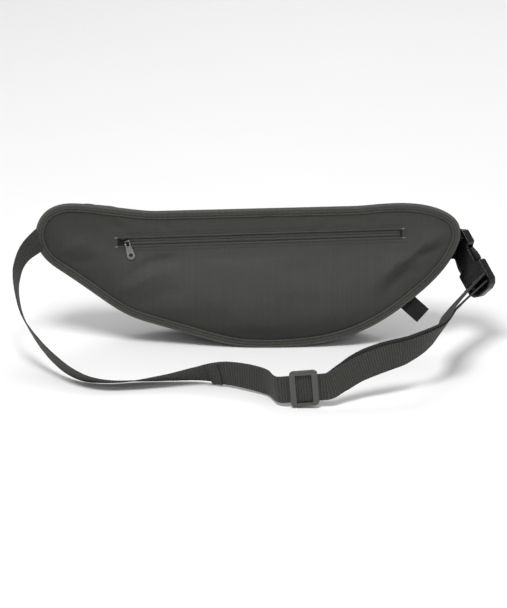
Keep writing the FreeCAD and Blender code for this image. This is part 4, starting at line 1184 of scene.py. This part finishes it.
def zip_parts(name, place, travel, body, slant):
    """All parts of one zip: tapes and coils on the pack, the slider and the pull on bodies of their own."""
    ahead, side, lift = directions(place)
    origin = place.translation
    steps = 60
    for word, sign in (("upper", 1), ("lower", -1)):
        places = []
        for k in range(steps + 1):
            run = -END_ROOM + (travel + 2 * END_ROOM) * k / steps
            wave = 0.12 * MM * noise.noise(Vector((run * 60, sign * 3.0, 8.0)))
            places.append((origin + ahead * run + lift * min(wave, 0.0), side * sign, lift, run, None))
        shape = [(a * MM, b * MM) for a, b in TAPE_SHAPE]
        tape = swept(f"{name}_tape_{word}_cloth", places, shape)
        tape.data.materials.append(ZIP_TAPE)
        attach(tape, "pack")
        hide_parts(f"{name}_tape_{word}")
        shift = 0.0 if sign > 0 else 0.625 * MM
        ends = (-END_ROOM + 0.5 * MM + shift, travel + END_ROOM - 0.5 * MM)
        line = [origin + ahead * (ends[0] + (ends[1] - ends[0]) * k / 8) for k in range(9)]
        if sign < 0:
            line.reverse()
        row = [(p, lift) for p in line]
        coil = laid_row(f"{name}_coil_{word}_turns", [row], tooth, 1.25 * MM, ZIP_COIL)
        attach(coil, "pack")
        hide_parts(f"{name}_coil_{word}")

    nose = SLIDER_LONG / 2
    half = [(-nose, 0.32), (-nose + 1.2 * MM, 0.5), (0.3 * MM, 0.5), (nose - 1 * MM, 0.36), (nose, 0.26)]
    outline = [Vector((x, -SLIDER_WIDE * share)) for x, share in half]
    outline += [Vector((x, SLIDER_WIDE * share)) for x, share in half[::-1]]
    top = plate(f"{name}_slider_top", place, [outline], -1.2 * MM, 0.1 * MM, 0.45 * MM, 2 * MM)
    under = plate(f"{name}_slider_under", place, [outline], -4.9 * MM, -3.65 * MM, 0.45 * MM, 2 * MM)
    arch = []
    pin_x = nose - 1.2 * MM
    for x, z in BAIL_ARCH:
        arch.append(Vector((pin_x + (x - 0.2) * MM, 0, z * MM)))
    arch = evenly(arch, 0.5 * MM, closed=False)
    bars = []
    for k, p in enumerate(arch):
        run = heading(arch, k)
        normal = Vector((-run.z, 0, run.x)).normalized()
        bars.append((place @ p, side, place.to_3x3() @ normal, k * 0.5 * MM, None))
    bail = swept(f"{name}_slider_bail", bars, [(a * MM, b * MM) for a, b in BAIL_SECTION])
    neck_loop = rounded_box(0.9 * MM, 0.1 * MM, 0.05 * MM, 2)
    neck_at = place @ Matrix.Translation((-nose + 1.2 * MM, 0, 0))
    neck = plate(f"{name}_slider_neck", neck_at, [neck_loop], -4.0 * MM, -1.0 * MM, 0.02 * MM, 2 * MM)
    for piece in (top, under, bail, neck):
        coated(piece, SLIDER_METAL)
        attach(piece, body + "_slider")
    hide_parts(f"{name}_slider")

    hinge = place @ Matrix.Translation((pin_x, 0, PIN_UP)) @ Matrix.Rotation(math.radians(slant), 4, "Z")
    wide, narrow, length = PULL_WIDE / 2, PULL_NARROW / 2, PULL_LONG
    tag = [
        Vector((-narrow, 1.0 * MM)), Vector((-narrow + 0.7 * MM, 1.6 * MM)),
        Vector((narrow - 0.7 * MM, 1.6 * MM)), Vector((narrow, 1.0 * MM)),
        Vector((narrow + 0.1 * MM, -5 * MM)), Vector((wide - 0.3 * MM, -length + 8 * MM)),
    ]
    for k in range(11):
        turn = math.radians(18 - 216 * k / 10)
        tag.append(Vector((math.cos(turn) * wide, -length + wide + math.sin(turn) * wide)))
    tag += [Vector((-wide + 0.3 * MM, -length + 8 * MM)), Vector((-narrow - 0.1 * MM, -5 * MM))]
    eye = [p + Vector((0, -1.7 * MM)) for p in rounded_box(1.35 * MM, 2.3 * MM, 0.6 * MM, 4)]
    hole = [Vector((math.cos(t * math.pi / 12), math.sin(t * math.pi / 12))) * 1.9 * MM for t in range(24)]
    hole = [p + Vector((0, -length + 4.2 * MM)) for p in hole]
    pull = plate(f"{name}_pull_tag", hinge, [tag, eye, hole], -0.65 * MM, 0.65 * MM, 0.3 * MM, 1.2 * MM)
    coated(pull, PULL_METAL)
    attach(pull, body + "_pull")
    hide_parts(f"{name}_pull")
    coated(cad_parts[f"{name}_stops"], SLIDER_METAL)


zip_parts("rear_zip", REAR_ZIP, REAR_TRAVEL, "rear", 14.0)
zip_parts("main_zip", MAIN_ZIP, MAIN_TRAVEL, "main", 0.0)

# The folded edge of the cloth round each window, and its section in mm.
FOLD_STEP = 1.2 * MM
FOLD_SECTION = (
    (-1.2, -0.06), (-1.1, 0.16), (-0.4, 0.30), (0.20, 0.22), (0.55, -0.25), (0.55, -1.15), (0.2, -1.25),
    (0.0, -0.5), (-0.4, -0.2),
)
rear_loop = [on_panel(p.x, p.y, 0) for p in window_loop(0, FOLD_STEP)]
main_flat = evenly(rounded_box(MAIN_TRAVEL / 2 + END_ROOM, WINDOW_TALL / 2, 1.2 * MM), FOLD_STEP)
main_loop = [MAIN_ZIP @ Vector((p.x + MAIN_TRAVEL / 2, p.y, 0)) for p in main_flat]
main_lift = directions(MAIN_ZIP)[2]
for name, loop, lift in (("rear_window_fold", rear_loop, OUT), ("main_window_fold", main_loop, main_lift)):
    centre = sum(loop, Vector()) / len(loop)
    places = []
    for k, p in enumerate(loop):
        ahead = (loop[(k + 1) % len(loop)] - loop[k - 1]).normalized()
        side = lift.cross(ahead).normalized()
        if side.dot(centre - p) < 0 and abs(side.dot(centre - p)) > 1e-4:
            side = -side
        places.append((p, side, lift, k * FOLD_STEP, None))
    fold = swept(name, places, [(a * MM, b * MM) for a, b in FOLD_SECTION], closed=True)
    fold.data.materials.append(BACK_CLOTH if name.startswith("rear") else FRONT_CLOTH)
    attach(fold, "pack")

# ---------- belt ----------
# One length of 25 mm ribbed polypropylene webbing, sewn into the left tip's seam. It passes the tri-glide and
# the plug's bar, comes back under the tri-glide, and ends in a folded, stitched hem.

WEB = 25 * MM
WEB_THICK = 1.2 * MM
LAYERS_APART = 1.5 * MM
GLIDE_AT = Vector((51, -181, 18)) * MM
GLIDE_DIR = Vector((1, -0.02, 0.085)).normalized()
GLIDE_UP = Vector((-0.2, 0.08, 0.97))
STRAIGHT = 19.5 * MM
BUCKLE_AT = Vector((199.5, 3.005, 96.365)) * MM
BUCKLE_X = Vector((0.449, -0.558, -0.697)).normalized()
BUCKLE_Z = BUCKLE_X.cross(Vector((0.552, -0.441, 0.708))).normalized()
BUCKLE_Y = BUCKLE_Z.cross(BUCKLE_X)
EXIT_SLANT = math.radians(22.4)
BAR_MIDDLE = 48 * MM
LEG_HALF = 3.1 * MM
FACE_UP = 4.8 * MM
CUT_UP = 12 * MM

# The route from the left tip to the plug: the middle of the webbing, then the direction across it.
ROUTE = [
    ((-188, -10, 108), (0, 0.1, 1)), ((-200, -17, 103.5), (0, -0.05, 1)),
    ((-213, -32, 95), (-0.1, -0.4, 0.9)),
    ((-219, -46, 81), (-0.19, -0.69, 0.7)), ((-218, -60, 66), (-0.05, -0.9, 0.42)),
    ((-211, -77, 47), (0.03, -0.93, 0.36)), ((-196, -95, 30), (0.114, -0.82, 0.45)),
    ((-175, -115, 15.5), (0.2, -0.8, 0.5)), ((-154, -130, 8.6), (0.2, -0.82, 0.5)),
    ((-131, -136, 6.2), (0.1, -0.87, 0.42)), ((-105, -133, 5.6), (0, -0.93, 0.36)),
    ((-76, -130, 7.6), (0, -0.837, 0.548)), ((-45, -129, 11.4), (0, -0.62, 0.78)),
    ((-20, -136, 15), (0, -0.25, 0.97)), ((0, -144.5, 15.2), (0, -0.1, 0.99)),
    ((17, -156, 14.4), (-0.12, 0.02, 0.99)),
    "glide", "glide",
    ((85, -174, 24.6), (-0.18, 0.08, 0.98)), ((101, -166, 31.2), (-0.1, 0.05, 0.99)),
    ((122, -158, 37), (0.05, 0.1, 0.99)), ((148, -147, 42), (0.2, -0.1, 0.95)),
    ((176, -124, 51), (0.4, -0.35, 0.85)),
]


def route_stations():
    """The route with the tri-glide's straight stretch and the way into the plug."""
    stations, sign = [], -1
    for entry in ROUTE:
        if entry == "glide":
            stations.append((GLIDE_AT + GLIDE_DIR * STRAIGHT * sign, GLIDE_UP))
            sign = 1
        else:
            stations.append((Vector(entry[0]) * MM, Vector(entry[1])))
    for up in (60 * MM, CUT_UP - 4 * MM):
        on_axis = BAR_MIDDLE + (up - FACE_UP) * math.tan(EXIT_SLANT)
        stations.append((BUCKLE_AT + BUCKLE_X * on_axis + BUCKLE_Z * up, BUCKLE_Y))
    return stations


def belt_sections(steps):
    """Sections of (middle, across, outward, half separation of the layers, run) along the whole belt."""
    stations = route_stations()
    last = len(stations) - 1
    spots = [at for at, _ in stations]
    slopes = [heading(spots, k).normalized() for k in range(last + 1)]
    for k, station in enumerate(stations):
        if station[1] is GLIDE_UP:
            slopes[k] = GLIDE_DIR
    apart = LEG_HALF * math.cos(EXIT_SLANT)
    sections, run, previous = [], 0.0, None
    for k in range(last):
        p, q = stations[k][0], stations[k + 1][0]
        span = (q - p).length
        dp, dq = slopes[k] * span, slopes[k + 1] * span
        for step in range(steps + (1 if k == last - 1 else 0)):
            t = step / steps
            a, b = t * t, t * t * t
            middle = p * (2 * b - 3 * a + 1) + dp * (b - 2 * a + t) + q * (3 * a - 2 * b) + dq * (b - a)
            ahead = p * (6 * a - 6 * t) + dp * (3 * a - 4 * t + 1)
            ahead += q * (6 * t - 6 * a) + dq * (3 * a - 2 * t)
            ahead.normalize()
            wanted = stations[k][1] * (1 - t) + stations[k + 1][1] * t
            across = (wanted - ahead * wanted.dot(ahead)).normalized()
            outward = ahead.cross(across)
            fan = min(max(k + t - (last - 1) + 0.6, 0.0) / 1.6, 1.0)
            half = LAYERS_APART / 2 + (apart - LAYERS_APART / 2) * fan
            if previous is not None:
                run += (middle - previous).length
            previous = middle
            sections.append((middle, across, outward, half, run))
    return sections


def web_section(wide, thick):
    """The webbing's section: flat, with round selvedges slightly thicker than the middle."""
    half, t = wide / 2, thick / 2
    upper = [
        (half, 0.0), (half - 0.15 * MM, t * 0.7), (half - 0.7 * MM, t * 1.04), (half - 1.6 * MM, t * 0.9),
        (half - 5 * MM, t * 0.96), (0.0, t), (-half + 5 * MM, t * 0.96), (-half + 1.6 * MM, t * 0.9),
        (-half + 0.7 * MM, t * 1.04), (-half + 0.15 * MM, t * 0.7), (-half, 0.0),
    ]
    return upper + [(a, -b) for a, b in upper[-2:0:-1]]


WEB_SECTION = web_section(WEB, WEB_THICK)
belt_line = belt_sections(14)
GLIDE_RUN = min(belt_line, key=lambda s: (s[0] - GLIDE_AT).length)[4]
BELT_RUN = belt_line[-1][4]


def belt_places(sign, start, stop, lift=0.0, drop=0.0):
    """Places along the belt for one of its layers, from one run to another."""
    places = []
    for middle, across, outward, half, run in belt_line:
        if not start <= run <= stop:
            continue
        free = smooth(run, GLIDE_RUN + 22 * MM, GLIDE_RUN + 70 * MM)
        free *= 1 - smooth(run, BELT_RUN - 110 * MM, BELT_RUN - 45 * MM)
        early = smooth(run, 20 * MM, 60 * MM) * (1 - smooth(run, GLIDE_RUN - 60 * MM, GLIDE_RUN - 24 * MM))
        wave = 0.35 * MM * noise.noise(Vector((run * 30, sign * 2.0, 6.0))) * max(free, early)
        shift = across * (drop * free)
        at = middle + outward * (sign * half + lift + wave * 0.5) + shift
        places.append((at, across, outward, run, None))
    return places


def near_front(x):
    """The run at which the front of the loop passes x."""
    front_part = [s for s in belt_line if s[0].y < -0.120]
    return min(front_part, key=lambda s: abs(s[0].x - x))[4]


def outside_pack(places):
    """The places with those inside the bag's tip left out, so that the webbing starts in the seam."""
    kept = []
    for place in places:
        local = in_panel(place[0])
        _, nearest, _ = rim_tree.find((local.x, local.y, 0))
        inner = (Vector((local.x, local.y)) - RIM[nearest]).dot(rim_side(nearest))
        if inner < 1.5 * MM or local.z > 4 * MM:
            kept.append(place)
    return kept


BELT_WEB = ribbed_cloth("ribbed_webbing", (0.036, 0.036, 0.032), 2.5 * MM, 0.8 * MM, 0.25, 0.0007, 0.14)
HEM_RUN = near_front(-36 * MM)
main_belt = swept("belt_main_web", outside_pack(belt_places(-1, 0, BELT_RUN, drop=3.6 * MM)), WEB_SECTION)
return_belt = swept("belt_return_web", belt_places(1, HEM_RUN, BELT_RUN), WEB_SECTION)
hem = swept("belt_hem_web", belt_places(1, HEM_RUN - 0.3 * MM, HEM_RUN + 12.5 * MM, 1.25 * MM), WEB_SECTION)


def loop_places():
    """The webbing's way through the plug: in by one slot, round the bar and out by the other."""
    slant = (CUT_UP - FACE_UP) * math.tan(EXIT_SLANT)
    flat_path = [(-LEG_HALF + slant, CUT_UP + 0.4 * MM), (-LEG_HALF, FACE_UP)]
    low = -2.0 * MM - 0.1 * MM - WEB_THICK / 2
    flat_path += [(-LEG_HALF, -0.5 * MM), (-LEG_HALF + 0.25 * MM, low + 0.7 * MM)]
    flat_path += [(-LEG_HALF + 1.2 * MM, low)]
    flat_path += [(LEG_HALF - 1.2 * MM, low), (LEG_HALF - 0.25 * MM, low + 0.7 * MM), (LEG_HALF, -0.5 * MM)]
    flat_path += [(LEG_HALF, FACE_UP), (LEG_HALF + slant, CUT_UP + 0.4 * MM)]
    points = evenly([Vector((BAR_MIDDLE + a, 0, b)) for a, b in flat_path], 0.7 * MM, closed=False)
    places = []
    for k, p in enumerate(points):
        run = heading(points, k)
        normal = Vector((run.z, 0, -run.x)).normalized()
        at = BUCKLE_AT + BUCKLE_X * p.x + BUCKLE_Z * p.z
        lift = BUCKLE_X * normal.x + BUCKLE_Z * normal.z
        places.append((at, BUCKLE_Y, lift, BELT_RUN + k * 0.7 * MM, None))
    return places


plug_loop = swept("belt_loop_web", loop_places(), WEB_SECTION)
# Painted shade: the main layer darkens past the tri-glide, where it runs under the return layer.
rubbed(main_belt, lambda point: -0.9 * smooth(point.x, 62 * MM, 78 * MM))
for piece in (main_belt, return_belt, hem, plug_loop):
    piece.data.materials.append(BELT_WEB)
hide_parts("strap_main")
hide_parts("strap_return")
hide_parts("strap_hem")
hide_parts("strap_loop")
STUB_FROM = next(s for s in belt_line if s[4] > BELT_RUN - 105 * MM)[0]
tuple(STUB_FROM)
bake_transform(main_belt)
tuple(STUB_FROM)
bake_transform(return_belt)
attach(hem, "pack")
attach(plug_loop, "plug")

hem_rows = []
hem_surface = mesh_surface(hem)
for run in (HEM_RUN + 2.6 * MM, HEM_RUN + 9.8 * MM):
    middle, across, outward, half, _ = min(belt_line, key=lambda s: abs(s[4] - run))
    line = [middle + across * (WEB * (k / 10 - 0.5) * 0.9) + outward * 5 * MM for k in range(11)]
    hem_rows.append(resting(hem_surface, line, 0.08 * MM))
hem_stitches = laid_row("hem_stitches", hem_rows, stitch, 2.9 * MM, THREAD, 0.05, 11)
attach(hem_stitches, "pack")

# ---------- webbing tabs ----------
# The right tip's short webbing, sewn into its seam and folded round the socket's bar, and the small black
# pull tab of folded webbing in the seam under the right wing.

TAB_WEB = ribbed_cloth("black_webbing", (0.003, 0.003, 0.003), 1.8 * MM, 0.8 * MM, 0.0, 0.0003, 0.2)
TIP_WEB = ribbed_cloth("tip_webbing", (0.020, 0.020, 0.018), 2.3 * MM, 0.8 * MM, 0.25, 0.0004, 0.14)
BAR_LONG, BAR_TALL = 4.0 * MM, 9.4 * MM
TAB_PLAY, TAB_HALF_THICK = 0.2 * MM, 0.65 * MM
half = BAR_TALL / 2 + TAB_PLAY + TAB_HALF_THICK
back_x = -BAR_LONG - TAB_PLAY - TAB_HALF_THICK
front_x = 0.3 * MM + TAB_HALF_THICK
seam_at = on_panel(0.93 * HALF, 0.75 * HIGH, -9 * MM)


def tab_line(side):
    """One leaf of the tab's path in the buckle's frame, from the seam to the bar, as world points."""
    root = BUCKLE_AT + BUCKLE_X * back_x
    leaf = []
    for k in range(13):
        t = k / 12
        spread = side * (0.7 * MM + (half - 0.7 * MM) * smooth(t, 0.55, 1.0))
        leaf.append(seam_at.lerp(root, t) + BUCKLE_Z * spread)
    return leaf


near_leaf, far_leaf = tab_line(1), tab_line(-1)
bend = (
    (front_x - 0.6 * MM, half), (front_x, half - 0.7 * MM), (front_x, 0.0),
    (front_x, -half + 0.7 * MM), (front_x - 0.6 * MM, -half),
)
wrap = [BUCKLE_AT + BUCKLE_X * x + BUCKLE_Z * z for x, z in bend]
tab_points = evenly(near_leaf + wrap + far_leaf[::-1], 1.2 * MM, closed=False)
tab_places = []
for k, p in enumerate(tab_points):
    run = heading(tab_points, k).normalized()
    share = min((p - seam_at).length / (BUCKLE_AT - seam_at).length, 1.0)
    wanted = Vector((0, 0.17, 0.98)).lerp(BUCKLE_Y, smooth(share, 0.2, 1.0))
    across = (wanted - run * wanted.dot(run)).normalized()
    tab_places.append((p, across, run.cross(across), k * 1.2 * MM, None))
buckle_tab = swept("buckle_tab_web", tab_places, WEB_SECTION)
buckle_tab.data.materials.append(TIP_WEB)
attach(buckle_tab, "pack")
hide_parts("buckle_tab")

TAB_WIDE, TAB_REACH = 17 * MM, 21 * MM
seam_a, seam_b = Vector((0.796 * HALF, 0.364 * HIGH)), Vector((0.592 * HALF, 0.157 * HIGH))
tab_middle = seam_a * 0.78 + seam_b * 0.22
tab_turn = math.atan2(seam_a.y - seam_b.y, seam_a.x - seam_b.x) + math.radians(13)
tab_side = Vector((math.cos(tab_turn), math.sin(tab_turn)))
tab_out = Vector((tab_side.y, -tab_side.x))
TAB_LEVEL = -4.0 * MM - 1.3 * MM


def side_tab_places():
    """The folded tab's path: out along its upper leaf, round the fold and back along the lower one."""
    path = []
    for k in range(12):
        path.append((-1.0 * MM + (TAB_REACH - 0.4 * MM) * k / 11, 0.66 * MM))
    path += [(TAB_REACH - 0.5 * MM, 0.5 * MM), (TAB_REACH - 0.1 * MM, 0.0), (TAB_REACH - 0.5 * MM, -0.5 * MM)]
    path += [(a, -b) for a, b in path[11::-1]]
    points = evenly([Vector((a, b, 0)) for a, b in path], 1.0 * MM, closed=False)
    across = panel_way(tab_side.x, tab_side.y, 0)
    places = []
    for k, p in enumerate(points):
        run = heading(points, k).normalized()
        at = tab_middle + tab_out * p.x
        curl = 0.5 * MM * math.sin(p.x / TAB_REACH * 2.2)
        normal = Vector((-run.y, run.x))
        lift = panel_way(*(tab_out * normal.x), normal.y).normalized()
        places.append((on_panel(at.x, at.y, TAB_LEVEL + p.y + curl), across, lift, k * 1.0 * MM, None))
    return places


side_tab = swept("side_tab_web", side_tab_places(), web_section(TAB_WIDE, 1.15 * MM))
side_tab.data.materials.append(TAB_WEB)
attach(side_tab, "pack")
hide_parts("side_tab")

# ---------- buckle and tri-glide ----------
# Injection-moulded hardware: the side-release buckle in glossy black acetal, the tri-glide in grey nylon
# with a fine matt texture. Their shapes are the frame's own.

BUCKLE_PLASTIC = moulded("black_acetal", (0.0022, 0.0022, 0.0024), 0.27, 0.06, 900.0, 1.2)
GLIDE_PLASTIC = moulded("grey_nylon", (0.050, 0.052, 0.047), 0.52, 0.05, 1400.0, 0.35)
for node in ("buckle_socket", "buckle_plug", "prong_a", "prong_b"):
    coated(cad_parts[node], BUCKLE_PLASTIC)
coated(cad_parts["tri_glide"], GLIDE_PLASTIC)

for element in (stitch, tack, tooth):
    bpy.data.objects.remove(element)
bpy.data.objects.remove(shell)
